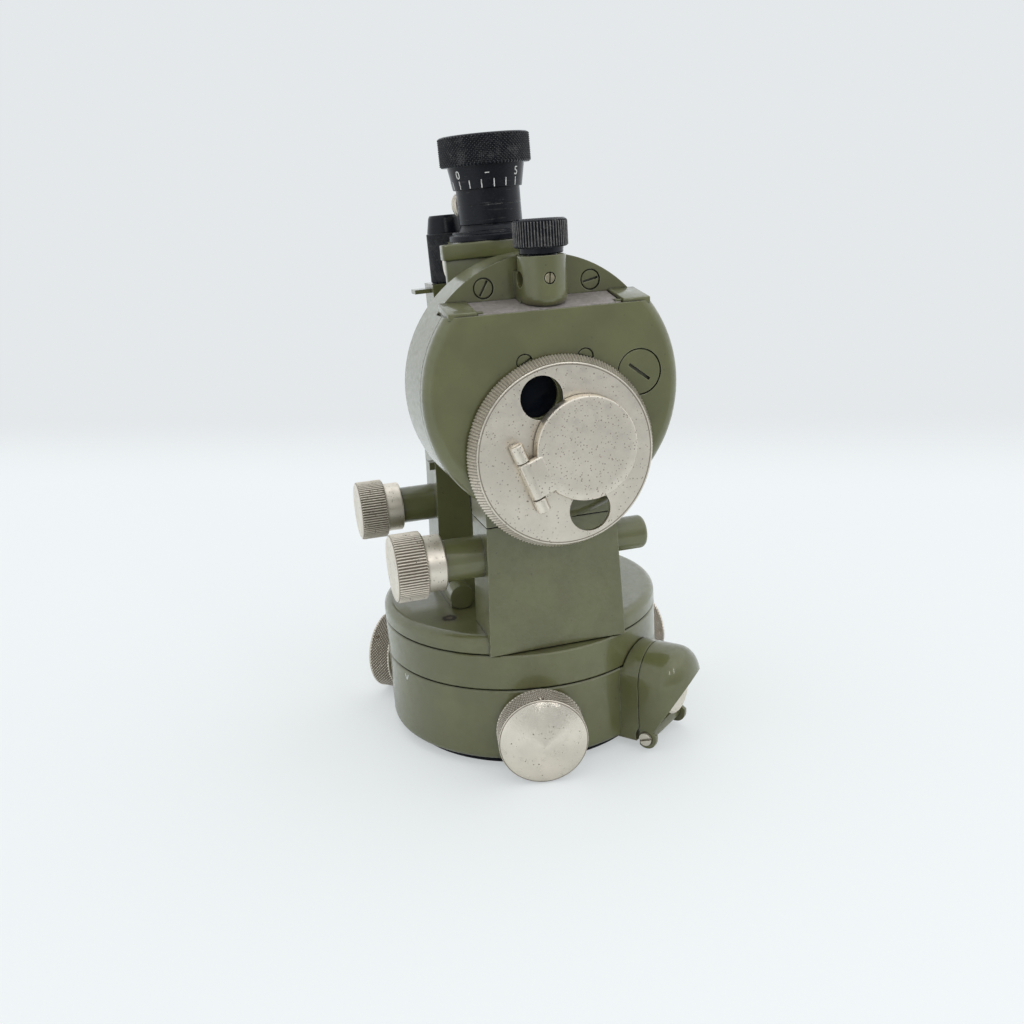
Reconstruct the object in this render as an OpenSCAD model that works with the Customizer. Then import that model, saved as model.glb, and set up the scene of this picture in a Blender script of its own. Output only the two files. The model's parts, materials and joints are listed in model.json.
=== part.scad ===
// Compact optical theodolite, telescope parked upright with its eyepiece on top.
// Millimetres. The origin is on the vertical axis at the plane it stands on.
// +Z is up, +X is to the right of the circle side, -Y faces that side.

/* [Base] */
// Radius of the base, the circle ring and the alidade plate
base_r = 45; // [43:0.5:48]
// Thickness of the bottom plate
bottom_plate_h = 3; // [2:0.5:4]
// Height of the top edge of the base body
base_top_z = 26.4; // [26:0.1:28]
// Wall of the base body
base_wall = 4; // [3:0.5:5]
// Radius of the tripod socket
socket_r = 6.8; // [5:0.1:8]
// Depth of the tripod socket
socket_depth = 12; // [9:0.5:12.5]

/* [Levelling] */
// Direction of the first levelling knob, in degrees from the front
level_angle = -10.8; // [-16:0.2:-6]
// Height of the levelling knob axes
level_z = 13.8; // [13.6:0.1:14.2]
// Radius of a levelling knob
level_knob_r = 13.4; // [11:0.2:13.5]
// Length of a levelling knob along its rim
level_knob_l = 8.8; // [7:0.2:10]
// Height of the dome on a levelling knob
level_dome_h = 3.4; // [2:0.2:5]
// Radius of a levelling shaft
level_shaft_r = 3; // [2.5:0.1:3.5]
// Radius of the spiral cam in the rest pose
cam_r = 5.5; // [5:0.1:5.8]
// Rise of the spiral cam in one full turn
cam_rise = 2.4; // [1.5:0.1:2.6]
// Radius of a foot plunger
foot_r = 3; // [2.5:0.1:3.5]
// Distance of the foot plungers from the vertical axis
foot_pcr = 29; // [28:0.5:30]

/* [Circle drive] */
// Direction of the circle drive and its cover, in degrees from the front
drive_angle = 39; // [34:0.5:46]
// Height of the circle drive shaft
drive_z = 17.9; // [17.4:0.1:18.2]
// Radius of the circle drive knob
drive_knob_r = 7.6; // [6:0.2:8.2]
// Distance that the drive pad stands out from the base
pad_out = 5; // [4:0.25:6]
// Half width of the drive pad and its cover
pad_half_w = 10.8; // [10:0.2:12]
// Height of the centre of the cover's arch
arch_z = 21.4; // [21:0.2:22]
// Length of the cover outwards from the pad's face
hood_l = 14.4; // [13:0.2:16]
// Wall of the cover
hood_wall = 1.2; // [1:0.1:1.6]
// Radius of the ears of the cover
ear_r = 3.4; // [3:0.1:3.8]

/* [Circle ring] */
// Height of the top edge of the circle ring
ring_top_z = 37.8; // [37:0.1:38.5]
// Gap at a seam between parts that turn on each other
seam_gap = 0.35; // [0.3:0.05:0.5]
// Distance of the glass horizontal circle's edge inside the base
h_circle_inset = 8; // [7:0.5:10]

/* [Alidade] */
// Thickness of the alidade plate
plate_h = 5.75; // [5:0.25:7]
// Radius of the vertical spindle
spindle_r = 8; // [7:0.25:8.5]
// Distance from the vertical axis to the outer faces of the standards
standard_face_y = 41.2; // [40.8:0.1:41.4]
// Distance from the vertical axis to the inner faces of the standards
standard_inner_y = 25; // [25:0.1:26]
// Half width of a standard where it meets the plate
standard_half_w = 21.2; // [20.5:0.1:22]
// Half width of a standard at the housing seam
standard_top_half_w = 19.8; // [19:0.1:20.4]
// Distance of the seam on the front standard below the round of the housing
seam_drop = 1.9; // [1.4:0.1:2.6]
// Height of the trunnion axis
trunnion_z = 116.5; // [116:0.25:118]
// Radius of a trunnion journal
journal_r = 6; // [5:0.1:6.5]

/* [Circle housing] */
// Radius of the vertical circle housing
housing_r = 36.6; // [36:0.2:38]
// Wall of the vertical circle housing
housing_wall = 3; // [2.5:0.1:3.5]
// Distance of the housing's back face from the vertical axis
housing_back_y = 24.7; // [24.4:0.1:24.9]
// Distance of the cover seam from the vertical axis
cover_seam_y = 46; // [45.5:0.1:47]
// Distance of the cover's front face from the vertical axis
cover_front_y = 51.5; // [51:0.1:52]
// Radius of the cover's rounded front edge
cover_edge_r = 3.6; // [2:0.2:4.5]
// Height of the flat shelf on top of the cover
shelf_z = 138.9; // [138:0.1:140]
// Distance of the sector plate's face from the vertical axis
sector_y = 39.4; // [39:0.1:40]
// Half length of the index window
window_half_l = 18.4; // [16:0.2:19]
// Radius of the glass vertical circle
v_circle_r = 30; // [26:0.5:31]
// Radius of the large plug in the cover
plug_r = 6.5; // [5.5:0.1:7]

/* [Prism knob] */
// Distance of the prism knob's axis from the vertical axis
prism_y = 44; // [43.8:0.1:44.4]
// Radius of the boss under the prism knob
boss_r = 6.6; // [6.4:0.1:7]
// Distance of the top of the boss below the top of the housing
boss_drop = 0.4; // [0.2:0.1:1.2]
// Radius of the prism knob
prism_knob_r = 7.4; // [7:0.1:8]
// Height of the knurled part of the prism knob
prism_knob_h = 7.4; // [6:0.2:9]
// Radius of the sighting hole in the side of the boss
sight_hole_r = 2.3; // [1.5:0.1:2.6]

/* [Illumination disc] */
// Height of the disc's axis
disc_z = 100.25; // [99.5:0.25:101]
// Radius of the disc's conical knurled rim at the back
disc_r = 27; // [26.5:0.1:27.5]
// Radius of the disc's front face
disc_face_r = 25; // [24.5:0.1:25.5]
// Thickness of the disc
disc_h = 4.2; // [3.6:0.1:4.6]
// Thickness of the disc's web round the two holes
disc_web = 1.2; // [1:0.1:2]
// Gap between the cover and the disc
disc_gap = 1.2; // [0.8:0.1:1.6]
// Turn of the disc's pattern, in degrees
disc_turn = 20.5; // [15:0.5:25]
// Radius of the two holes in the disc
disc_hole_r = 6; // [5:0.1:6.4]
// Distance of the two holes from the disc's centre
disc_hole_pcr = 17.4; // [17:0.1:18]
// Radius of the mirror cap
cap_r = 14.4; // [13:0.1:14.8]
// Thickness of the mirror cap
cap_h = 3.6; // [3:0.1:4.5]
// Offset of the mirror cap from the disc's centre
cap_offset = 5.3; // [5:0.1:5.8]
// Distance of the cap's hinge from the disc's centre
cap_hinge_u = 12.2; // [11.8:0.1:12.6]

/* [Tangent screws] */
// Distance of both tangent screws from the vertical axis
tangent_y = 33; // [32.8:0.1:33.4]
// Height of both tangent screws
tangent_z = 67.3; // [66.5:0.1:68]
// Radius of a tangent knob
tangent_knob_r = 10; // [8:0.2:10.4]
// Length of the knurl on a tangent knob
tangent_knurl_l = 9.3; // [8:0.2:11]
// Length of the plain collar on a tangent knob
tangent_collar_l = 5.6; // [4:0.2:7]
// Radius of the plain collar on a tangent knob
tangent_collar_r = 8.3; // [7.5:0.1:9]
// Distance of the ends of the bosses from the vertical axis
tangent_boss_x = 31.5; // [30:0.25:33]
// Radius of the boss on the knob's side
tangent_boss_r = 6.25; // [5.8:0.05:7]
// Radius of the spring housing on the other side
spring_boss_r = 5.1; // [5:0.05:6]
// Radius of a tangent screw
tangent_screw_r = 2.5; // [2:0.1:2.8]

/* [Telescope] */
// Lean of the parked telescope towards the knobs, in degrees
park_tilt = 1.6; // [0:0.1:2]
// Half width of the square body under the eyepiece
block_half_w = 11.1; // [10.6:0.1:11.4]
// Half width of the cap on the square body
block_cap_half_w = 12.3; // [11.8:0.1:12.4]
// Height of the underside of the eyepiece flange over the trunnion axis
block_top = 40; // [39:0.25:41]
// Radius of the eyepiece flange
flange_r = 12.1; // [11:0.1:13]
// Radius of the eyepiece barrel
barrel_r = 9.65; // [9:0.05:10]
// Radius of the knurled eyepiece ring
eye_ring_r = 13.8; // [13:0.1:14.2]
// Height of the top of the eyepiece ring over the trunnion axis
eye_top = 69.9; // [69:0.1:71]
// Radius of the objective tube
objective_r = 14.2; // [13.5:0.1:14.6]
// Length of the objective end below the trunnion axis
objective_l = 50; // [46:0.5:52]
// Radius of the objective lens
objective_lens_r = 12.5; // [11:0.1:12.8]
// Radius of the focusing knob
focus_knob_r = 5; // [4.6:0.1:6.6]
// Radius of the knurled cap over the reticle screws
reticle_cap_r = 3.6; // [2.8:0.1:3.8]
// Direction of that cap around the barrel, in degrees from the knobs' side
reticle_angle = 52; // [40:1:70]

/* [Reading microscope] */
// Distance of the microscope from the telescope, towards the knobs
micro_x = 10.3; // [10:0.1:10.6]
// Distance of the microscope from the telescope, along the trunnion
micro_y = 18.2; // [18.1:0.05:18.4]
// Radius of the microscope's knurled sleeve
micro_r = 6.1; // [5.6:0.05:6.1]
// Height of the foot of the sleeve over the trunnion axis
micro_foot = 27.3; // [26:0.1:29]
// Length of the knurled sleeve
micro_sleeve_l = 15.2; // [13:0.2:16]

/* [Plate level] */
// Distance of the plate level from the vertical axis
level_tube_x = 22.5; // [22:0.1:23.5]
// Radius of the plate level's tube
level_tube_r = 3.9; // [3.6:0.05:4.4]
// Length of the plate level's tube
level_tube_l = 28; // [22:0.5:32]

/* [Hidden] */
$fn = 72;

paint = [0.40, 0.42, 0.31];
nickel = [0.72, 0.69, 0.65];
black_metal = [0.13, 0.13, 0.14];
bronze = [0.66, 0.52, 0.30];
glass = [0.62, 0.74, 0.78];

// Clearances that are used everywhere
run = 0.05;
apart = 0.3;
cut = 1;

// Sizes in the base
ring_bottom_z = base_top_z + seam_gap;
plate_z = ring_top_z + seam_gap;
plate_top_z = plate_z + plate_h;
floor_top_z = bottom_plate_h + 3;
bottom_plate_r = base_r - base_wall;
hub_bore_r = 12;
hub_r = 15;
hub_top_z = 22;
sleeve_bottom_z = socket_depth + 1;
sleeve_top_z = ring_top_z - 2;
spindle_bottom_z = sleeve_bottom_z + 1;
socket_hub_r = hub_bore_r - 0.2;
level_boss_r = 7;
level_boss_rho = base_r - base_wall - 6.5;
level_bush_r = level_shaft_r + 1.6;
knob_back_rho = base_r + 0.4;
knob_face_rho = knob_back_rho + level_knob_l;
cam_w = 4.5;
shaft_end_rho = foot_pcr - cam_w / 2 - 1.5;
foot_top_z = level_z - cam_r - apart;
foot_bush_r = foot_r + 1.8;
foot_bush_top = floor_top_z + 0.8;
screw_pcr = base_r - 10;
h_circle_r = base_r - h_circle_inset;
pad_rho = base_r + pad_out;

// Sizes of the circle drive
carrier_bottom_z = hub_top_z + 0.8;
crown_z = 24.2;
crown_h = 1.6;
roller_r = crown_z - 0.1 - drive_z;
roller_rho = h_circle_r - 4;
roller_l = 3;
drive_shaft_r = 2.2;
drive_bush_r = drive_shaft_r + 1.4;
hood_rho = pad_rho + 0.25;
hood_nose_l = 6.6;
pivot_rho = pad_rho + 2.5;
pivot_z = ear_r + 1.2;
pivot_r = 1.6;
lug_half_w = pad_half_w - hood_wall - 0.3;
drive_knob_l = 7.5;

// Sizes of the standards and the housing
housing_seam_z = trunnion_z - housing_r - seam_drop;
boss_top_z = trunnion_z + housing_r - boss_drop;
housing_foot_h = seam_drop + housing_r - sqrt(pow(housing_r, 2) - pow(standard_top_half_w, 2)) + 2;
sector_screw_up = housing_r - 8.3;
sector_screw_x = 15.4;
cover_screw_up = 9;
cover_screw_x = 8.6;
plug_up = 3.2;
plug_x = housing_r - 12.4;
boss_bore_r = 4;
spring_bore_end = tangent_boss_x - 2.5;
plunger_r = boss_bore_r - run;
bush_wall = 3;
bush_r = journal_r + bush_wall;
foot_y = standard_face_y - 4;
housing_in_r = housing_r - housing_wall;
wall_front_y = housing_back_y + housing_wall;
cavity_top_z = shelf_z - 2.4;
index_vial_r = 3.2;
index_vial_l = 26;
sector_h = 2.5;
window_h = 1.4;
window_front_y = cover_front_y - 1.8;
tab_h = 0.8;
tab_end_x = sqrt(pow(housing_r, 2) - pow(shelf_z - trunnion_z, 2)) - 1.2;
cover_wall = 2.4;
screw_slot_w = 0.7;
sector_screw_r = 2.9;
cover_screw_r = 2.4;
prism_bore_r = 4.2;
prism_neck_r = 6;
prism_neck_h = 1.7;

// Sizes of the disc and its cap
disc_back_y = cover_front_y + disc_gap;
disc_front_y = disc_back_y + disc_h;
stud_r = 4;
cap_back_y = disc_front_y + 0.25;
cap_front_y = cap_back_y + cap_h;
hinge_r = 1.9;
hinge_pin_r = 0.9;
hinge_y = disc_front_y + hinge_r + apart;
hinge_low = -10.4;
hinge_low_end = -6.5;
hinge_mid_end = 4.8;
hinge_high = 9.8;
port_u = 12;
port_r = 4;

// Sizes of the telescope, with heights over the trunnion axis
block_bottom = 10;
block_corner_r = 4.5;
cap_corner_r = 5.5;
block_cap_h = 4.5;
sight_bore_r = 8;
hub_end_y = housing_back_y - 0.5;
rear_hub_y = standard_inner_y - 0.6;
tele_hub_r = 12;
cell_r = objective_r + 1;
cell_l = 12;
flange_h = 2.8;
barrel_top = eye_top - 11.9;
scale_bottom = eye_top - 15.2;
knurl_bottom = eye_top - 8.6;
lens_cell_r = sight_bore_r - run;
focus_z = block_top - 5.8;
focus_cell_r = 7.9;
micro_top_l = 5.4;
micro_half_w = 6;
reticle_pin_r = 1.4;

// Sizes of the plate level
level_tube_z = plate_top_z + level_tube_r;
vial_r = level_tube_r - 1.2;

// Frames of reference
module radial(angle) rotate([0, 0, angle - 90]) children();
module outward(rho, z) translate([rho, 0, z]) rotate([0, 90, 0]) children();
module to_front(y, z, x = 0) translate([x, -y, z]) rotate([90, 0, 0]) children();
module to_left(x, y, z) translate([-x, y, z]) rotate([0, -90, 0]) children();
module on_disc() translate([0, 0, disc_z]) rotate([0, -disc_turn, 0]) children();
module parked() translate([0, 0, trunnion_z]) rotate([0, -park_tilt, 0]) children();
module on_barrel() rotate([0, 0, -reticle_angle]) translate([0, 0, block_top + 10.6]) rotate([0, -90, 0]) children();

function arc(cx, cy, r, a0, a1, n = 8) =
    [for (i = [0 : n]) [cx + r * cos(a0 + (a1 - a0) * i / n), cy + r * sin(a0 + (a1 - a0) * i / n)]];
function level_dir(i) = level_angle + 120 * i;
function post_half_w(z) = standard_top_half_w +
    (standard_half_w - standard_top_half_w) * (housing_seam_z - z) / (housing_seam_z - plate_top_z);

module ring(r_out, r_in, h) {
    difference() {
        cylinder(r = r_out, h = h);
        translate([0, 0, -cut]) cylinder(r = r_in, h = h + 2 * cut);
    }
}

// A round slotted screw head with its shank below, facing +Z
module slot_screw(r, h, shank_r, shank_l, turn) {
    difference() {
        cylinder(r = r, h = h);
        rotate([0, 0, turn])
            translate([-r - cut, -screw_slot_w / 2, h - 0.6]) cube([2 * r + 2 * cut, screw_slot_w, cut]);
    }
    translate([0, 0, -shank_l]) cylinder(r = shank_r, h = shank_l + 0.01);
}

// A square with rounded corners, centred
module round_square(half_w, r) {
    hull() for (sx = [-1, 1], sy = [-1, 1])
        translate([sx * (half_w - r), sy * (half_w - r)]) circle(r = r, $fn = 32);
}

// Base body: an open shell with a hub, three levelling bosses and the drive pad
module arch_2d(half_w, z0) {
    translate([arch_z, 0]) circle(r = half_w);
    translate([z0, -half_w]) square([arch_z - z0, 2 * half_w]);
}
module drive_pad() {
    intersection() {
        translate([base_r - base_wall, 0, 0]) rotate([0, -90, 180])
            linear_extrude(pad_rho - base_r + base_wall) arch_2d(pad_half_w, bottom_plate_h);
        union() {
            translate([0, -pad_half_w - cut, 0]) cube([pad_rho + cut, 2 * pad_half_w + 2 * cut, base_top_z]);
            difference() {
                translate([0, -pad_half_w - cut, 0]) cube([pad_rho + cut, 2 * pad_half_w + 2 * cut, ring_top_z]);
                translate([0, 0, -cut]) cylinder(r = base_r + apart + 0.1, h = ring_top_z + 2 * cut);
            }
        }
    }
    translate([pad_rho - cut, -lug_half_w, bottom_plate_h])
        cube([pivot_rho - pad_rho + cut, 2 * lug_half_w, 2 * (pivot_z - bottom_plate_h)]);
    translate([pivot_rho, lug_half_w, pivot_z]) rotate([90, 0, 0])
        cylinder(r = pivot_z - bottom_plate_h, h = 2 * lug_half_w);
}
module base_body() {
    color(paint) difference() {
        union() {
            difference() {
                rotate_extrude() polygon(concat(
                    [[hub_bore_r, bottom_plate_h], [base_r - 2, bottom_plate_h]],
                    arc(base_r - 2, bottom_plate_h + 2, 2, -90, 0, 5),
                    [[base_r, base_top_z - 0.4], [base_r - 0.4, base_top_z], [hub_bore_r, base_top_z]]));
                translate([0, 0, floor_top_z]) ring(base_r - base_wall, hub_r, base_top_z);
                translate([0, 0, hub_top_z]) cylinder(r = hub_r + cut, h = base_top_z);
            }
            for (i = [0 : 2]) radial(level_dir(i))
                outward(level_boss_rho, level_z) cylinder(r = level_boss_r, h = base_r - base_wall / 2 - level_boss_rho);
            radial(drive_angle) drive_pad();
        }
        for (i = [0 : 2]) radial(level_dir(i)) {
            outward(level_boss_rho - cut, level_z) cylinder(r = level_bush_r, h = base_r - level_boss_rho + 2 * cut);
            translate([foot_pcr, 0, 0]) cylinder(r = foot_bush_r, h = floor_top_z + cut);
        }
        radial(drive_angle) {
            outward(base_r - base_wall - cut, drive_z) cylinder(r = drive_bush_r, h = pad_rho);
            for (s = [-1, 1]) translate([pivot_rho, s * (lug_half_w + cut), pivot_z]) rotate([90 * s, 0, 0])
                cylinder(r = 1, h = 5 + cut);
            for (s = [-1, 1]) translate([pivot_rho, s * lug_half_w, pivot_z]) rotate([-90 * s, 0, 0])
                cylinder(r = ear_r + apart, h = pad_half_w);
        }
        for (i = [0 : 5]) rotate([0, 0, 60 * i + 20])
            translate([screw_pcr, 0, bottom_plate_h - cut]) cylinder(r = 1.25, h = 2.5 + cut);
    }
}

// Bottom plate with the tripod socket in its hub
module bottom_plate() {
    color(black_metal) difference() {
        union() {
            rotate_extrude() polygon([[0, 0], [bottom_plate_r - 0.6, 0], [bottom_plate_r, 0.6],
                [bottom_plate_r, bottom_plate_h], [0, bottom_plate_h]]);
            cylinder(r = socket_hub_r, h = socket_depth + 0.8);
        }
        translate([0, 0, -cut]) cylinder(r = socket_r, h = socket_depth + cut);
        for (i = [0 : 2]) radial(level_dir(i))
            translate([foot_pcr, 0, -cut]) cylinder(r = foot_r + 0.8, h = bottom_plate_h + 2 * cut);
        for (i = [0 : 5]) rotate([0, 0, 60 * i + 20]) translate([screw_pcr, 0, 0]) {
            translate([0, 0, -cut]) cylinder(r = 1.3, h = bottom_plate_h + 2 * cut);
            translate([0, 0, -cut]) cylinder(r = 2.3, h = 1.4 + cut);
        }
    }
}
module bottom_plate_screws() {
    color(nickel) for (i = [0 : 5]) rotate([0, 0, 60 * i + 20])
        translate([screw_pcr, 0, 1.4]) mirror([0, 0, 1]) slot_screw(2.2, 1.2, 1.2, 3.6, 30 * i);
}

// Bushes in the base: the spindle sleeve, three shaft bushes, three foot guides, the drive bush
module base_bushes() {
    color(bronze) {
        translate([0, 0, sleeve_bottom_z]) ring(hub_bore_r, spindle_r + run, sleeve_top_z - sleeve_bottom_z);
        for (i = [0 : 2]) radial(level_dir(i)) {
            outward(level_boss_rho, level_z) ring(level_bush_r, level_shaft_r + run, base_r - level_boss_rho);
            translate([foot_pcr, 0, bottom_plate_h]) ring(foot_bush_r, foot_r + run, foot_bush_top - bottom_plate_h);
        }
        radial(drive_angle) outward(base_r - base_wall, drive_z)
            ring(drive_bush_r, drive_shaft_r + run, pad_rho - base_r + base_wall);
    }
}

// Ring that carries the horizontal circle's case
module circle_ring() {
    lip = base_wall + 1;
    color(paint) rotate_extrude() polygon([[base_r - lip, ring_bottom_z], [base_r - 0.4, ring_bottom_z],
        [base_r, ring_bottom_z + 0.4], [base_r, ring_top_z - 0.4], [base_r - 0.4, ring_top_z],
        [base_r - lip, ring_top_z]]);
    color(paint) translate([0, 0, base_top_z - 3])
        ring(base_r - base_wall, base_r - base_wall - 1.8, ring_bottom_z - base_top_z + 3);
}
module cover_pivot_screws() {
    color(nickel) radial(drive_angle) for (s = [-1, 1])
        translate([pivot_rho, s * (pad_half_w + 0.1), pivot_z]) rotate([-90 * s, 0, 0]) {
            slot_screw(2.05, 0.9, pivot_r - run, pad_half_w - lug_half_w + 0.1, 20);
            translate([0, 0, lug_half_w - pad_half_w - 4.5]) cylinder(r = 0.95, h = 4.6);
        }
}

// Levelling knob with its shaft, turned from one bar
module level_knob(i) {
    r = level_knob_r;
    color(nickel) radial(level_dir(i)) difference() {
        outward(0, level_z) rotate_extrude() polygon(concat(
            [[0, shaft_end_rho], [level_shaft_r - 0.3, shaft_end_rho], [level_shaft_r, shaft_end_rho + 0.3],
             [level_shaft_r, knob_back_rho], [r - 0.6, knob_back_rho], [r, knob_back_rho + 0.6],
             [r, knob_face_rho - 0.5], [r - 0.5, knob_face_rho]],
            [for (k = [1 : 8]) [(r - 0.5) * (1 - k / 8), knob_face_rho + level_dome_h * (1 - pow(1 - k / 8, 1.6))]]));
        translate([(knob_back_rho + knob_face_rho) / 2, 0, level_z + r - 3]) cylinder(r = 0.7, h = 4);
    }
}

// Spiral cam: its radius falls evenly with the angle from the point over the foot
module level_cam(i) {
    steps = 60;
    color(bronze) radial(level_dir(i)) translate([foot_pcr - cam_w / 2, 0, level_z]) rotate([90, 0, 90])
        linear_extrude(cam_w) difference() {
            polygon([for (k = [0 : steps]) let (a = -180 + 360 * k / steps)
                (cam_r - cam_rise * a / 360) * [cos(a - 90), sin(a - 90)]]);
            circle(r = level_shaft_r);
        }
}
module foot_plunger(i) {
    color(nickel) radial(level_dir(i)) translate([foot_pcr, 0, 0]) {
        cylinder(r = foot_r, h = foot_top_z - 1.6);
        translate([0, 0, foot_top_z - 1.7]) cylinder(r1 = foot_r, r2 = foot_r - 1.4, h = 1.7);
    }
}

// Hinged cover over the circle drive knob
module hood_section(half_w, l, nose) {
    polygon(concat([[0, -half_w], [l - nose, -half_w]],
        [for (k = [1 : 9]) [l - nose + nose * sin(10 * k), -half_w * cos(10 * k)]],
        [for (k = [1 : 9]) [l - nose + nose * cos(10 * k), half_w * sin(10 * k)]],
        [[0, half_w]]));
}
module hood_solid(half_w, l, nose, low) {
    translate([0, 0, low]) linear_extrude(arch_z - low) hood_section(half_w, l, nose);
    translate([0, 0, arch_z]) rotate([0, 90, 0]) rotate_extrude()
        polygon(concat([[0, 0], [half_w, 0], [half_w, l - nose]],
            [for (k = [1 : 9]) [half_w * cos(10 * k), l - nose + nose * sin(10 * k)]]));
}
module circle_cover() {
    slant_low = pivot_z + 5;
    tip_z = arch_z + 2.6;
    color(paint) radial(drive_angle) difference() {
        intersection() {
            translate([hood_rho, 0, 0]) difference() {
                hood_solid(pad_half_w, hood_l, hood_nose_l, 0);
                translate([-cut, 0, 0])
                    hood_solid(pad_half_w - hood_wall, hood_l - hood_wall + cut, hood_nose_l - hood_wall, -cut);
            }
            union() {
                translate([0, pad_half_w + cut, 0]) rotate([90, 0, 0]) linear_extrude(2 * pad_half_w + 2 * cut)
                    polygon([[hood_rho, arch_z + pad_half_w + cut], [hood_rho + hood_l + cut, arch_z + pad_half_w + cut],
                        [hood_rho + hood_l + cut, tip_z + 1.6], [hood_rho + hood_l, tip_z],
                        [pivot_rho + ear_r, slant_low], [pivot_rho + ear_r, pivot_z], [hood_rho, pivot_z]]);
                translate([pivot_rho, pad_half_w + cut, pivot_z]) rotate([90, 0, 0])
                    cylinder(r = ear_r, h = 2 * pad_half_w + 2 * cut);
            }
        }
        translate([pivot_rho, pad_half_w + cut, pivot_z]) rotate([90, 0, 0])
            cylinder(r = pivot_r, h = 2 * pad_half_w + 2 * cut);
    }
}

// Circle drive: a knob, its shaft and the roller under the crown of the carrier
module circle_drive_knob() {
    face = hood_rho + 0.8 + drive_knob_l;
    color(nickel) radial(drive_angle) outward(0, drive_z) rotate_extrude() polygon([
        [0, roller_rho - 1], [roller_r - 0.4, roller_rho - 1], [roller_r, roller_rho - 0.6],
        [roller_r, roller_rho + roller_l], [drive_shaft_r, roller_rho + roller_l],
        [drive_shaft_r, hood_rho + 0.8], [drive_knob_r - 0.5, hood_rho + 0.8],
        [drive_knob_r, hood_rho + 1.3], [drive_knob_r, face - 0.6], [drive_knob_r - 0.6, face], [0, face]]);
}
module circle_carrier() {
    color(bronze) rotate_extrude() polygon([[hub_bore_r + run, carrier_bottom_z],
        [hub_bore_r + 4, carrier_bottom_z], [hub_bore_r + 4, crown_z], [h_circle_r + 0.5, crown_z],
        [h_circle_r + 0.5, crown_z + crown_h], [hub_bore_r + 5, crown_z + crown_h],
        [hub_bore_r + 5, crown_z + crown_h + 4], [hub_bore_r + run, crown_z + crown_h + 4]]);
}
module horizontal_circle() {
    color(glass) translate([0, 0, crown_z + crown_h]) ring(h_circle_r, hub_bore_r + 5, 2.5);
}

// Alidade plate with a rounded top edge
module alidade_plate() {
    edge = 2.6;
    color(paint) difference() {
        rotate_extrude() polygon(concat(
            [[spindle_r, plate_z], [base_r - 0.4, plate_z], [base_r, plate_z + 0.4]],
            arc(base_r - edge, plate_top_z - edge, edge, 0, 90, 7),
            [[spindle_r, plate_top_z]]));
        to_front(foot_y, 0) linear_extrude(base_r) front_post_2d(plate_z - cut, plate_top_z + cut);
    }
}
module spindle() {
    color(nickel) {
        translate([0, 0, spindle_bottom_z]) cylinder(r = spindle_r, h = plate_top_z - spindle_bottom_z);
        translate([0, 0, plate_top_z]) cylinder(r = spindle_r + 5, h = 1.6);
    }
}

// Standards: tapered posts with a boss for the tangent screw and its spring
module tangent_bosses() {
    translate([0, 0, tangent_z]) {
        rotate([0, -90, 0]) cylinder(r = tangent_boss_r, h = tangent_boss_x);
        rotate([0, 90, 0]) rotate_extrude() polygon(concat([[0, 0], [spring_boss_r, 0]],
            arc(spring_boss_r - 1.4, tangent_boss_x - 1.4, 1.4, 0, 90, 5), [[0, tangent_boss_x]]));
    }
}
module tangent_bore() {
    translate([-tangent_boss_x - cut, 0, tangent_z]) rotate([0, 90, 0])
        cylinder(r = boss_bore_r, h = tangent_boss_x + spring_bore_end + cut);
}
module front_post_2d(low, top) {
    polygon([[-post_half_w(low), low], [post_half_w(low), low], [post_half_w(top), top], [-post_half_w(top), top]]);
}
module front_standard() {
    depth = standard_face_y - standard_inner_y;
    color(paint) difference() {
        union() {
            difference() {
                to_front(standard_inner_y, 0) linear_extrude(depth)
                    front_post_2d(plate_z, housing_seam_z - seam_gap);
                translate([-base_r, -foot_y, plate_z - cut])
                    cube([2 * base_r, foot_y, plate_top_z - plate_z + cut]);
            }
            translate([-standard_top_half_w + 0.6, -standard_face_y + 0.6, housing_seam_z - 1])
                cube([2 * standard_top_half_w - 1.2, depth - 1.2, 1]);
            translate([0, -tangent_y, 0]) tangent_bosses();
        }
        translate([0, -tangent_y, 0]) tangent_bore();
    }
}
module rear_standard() {
    depth = standard_face_y - standard_inner_y;
    color(paint) difference() {
        union() {
            translate([0, standard_face_y, 0]) rotate([90, 0, 0]) linear_extrude(depth) {
                polygon([[-standard_half_w, plate_top_z], [standard_half_w, plate_top_z],
                    [standard_top_half_w, housing_seam_z], [standard_top_half_w, trunnion_z],
                    [-standard_top_half_w, trunnion_z], [-standard_top_half_w, housing_seam_z]]);
                translate([0, trunnion_z]) circle(r = standard_top_half_w);
            }
            translate([0, tangent_y, 0]) tangent_bosses();
            translate([-standard_top_half_w - 1.6, standard_inner_y + 2, 80]) cube([3, 4, 2.6]);
        }
        translate([0, tangent_y, 0]) tangent_bore();
        translate([0, standard_face_y + cut, trunnion_z]) rotate([90, 0, 0])
            cylinder(r = bush_r, h = standard_face_y - standard_inner_y + 2 * cut);
    }
}

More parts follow.
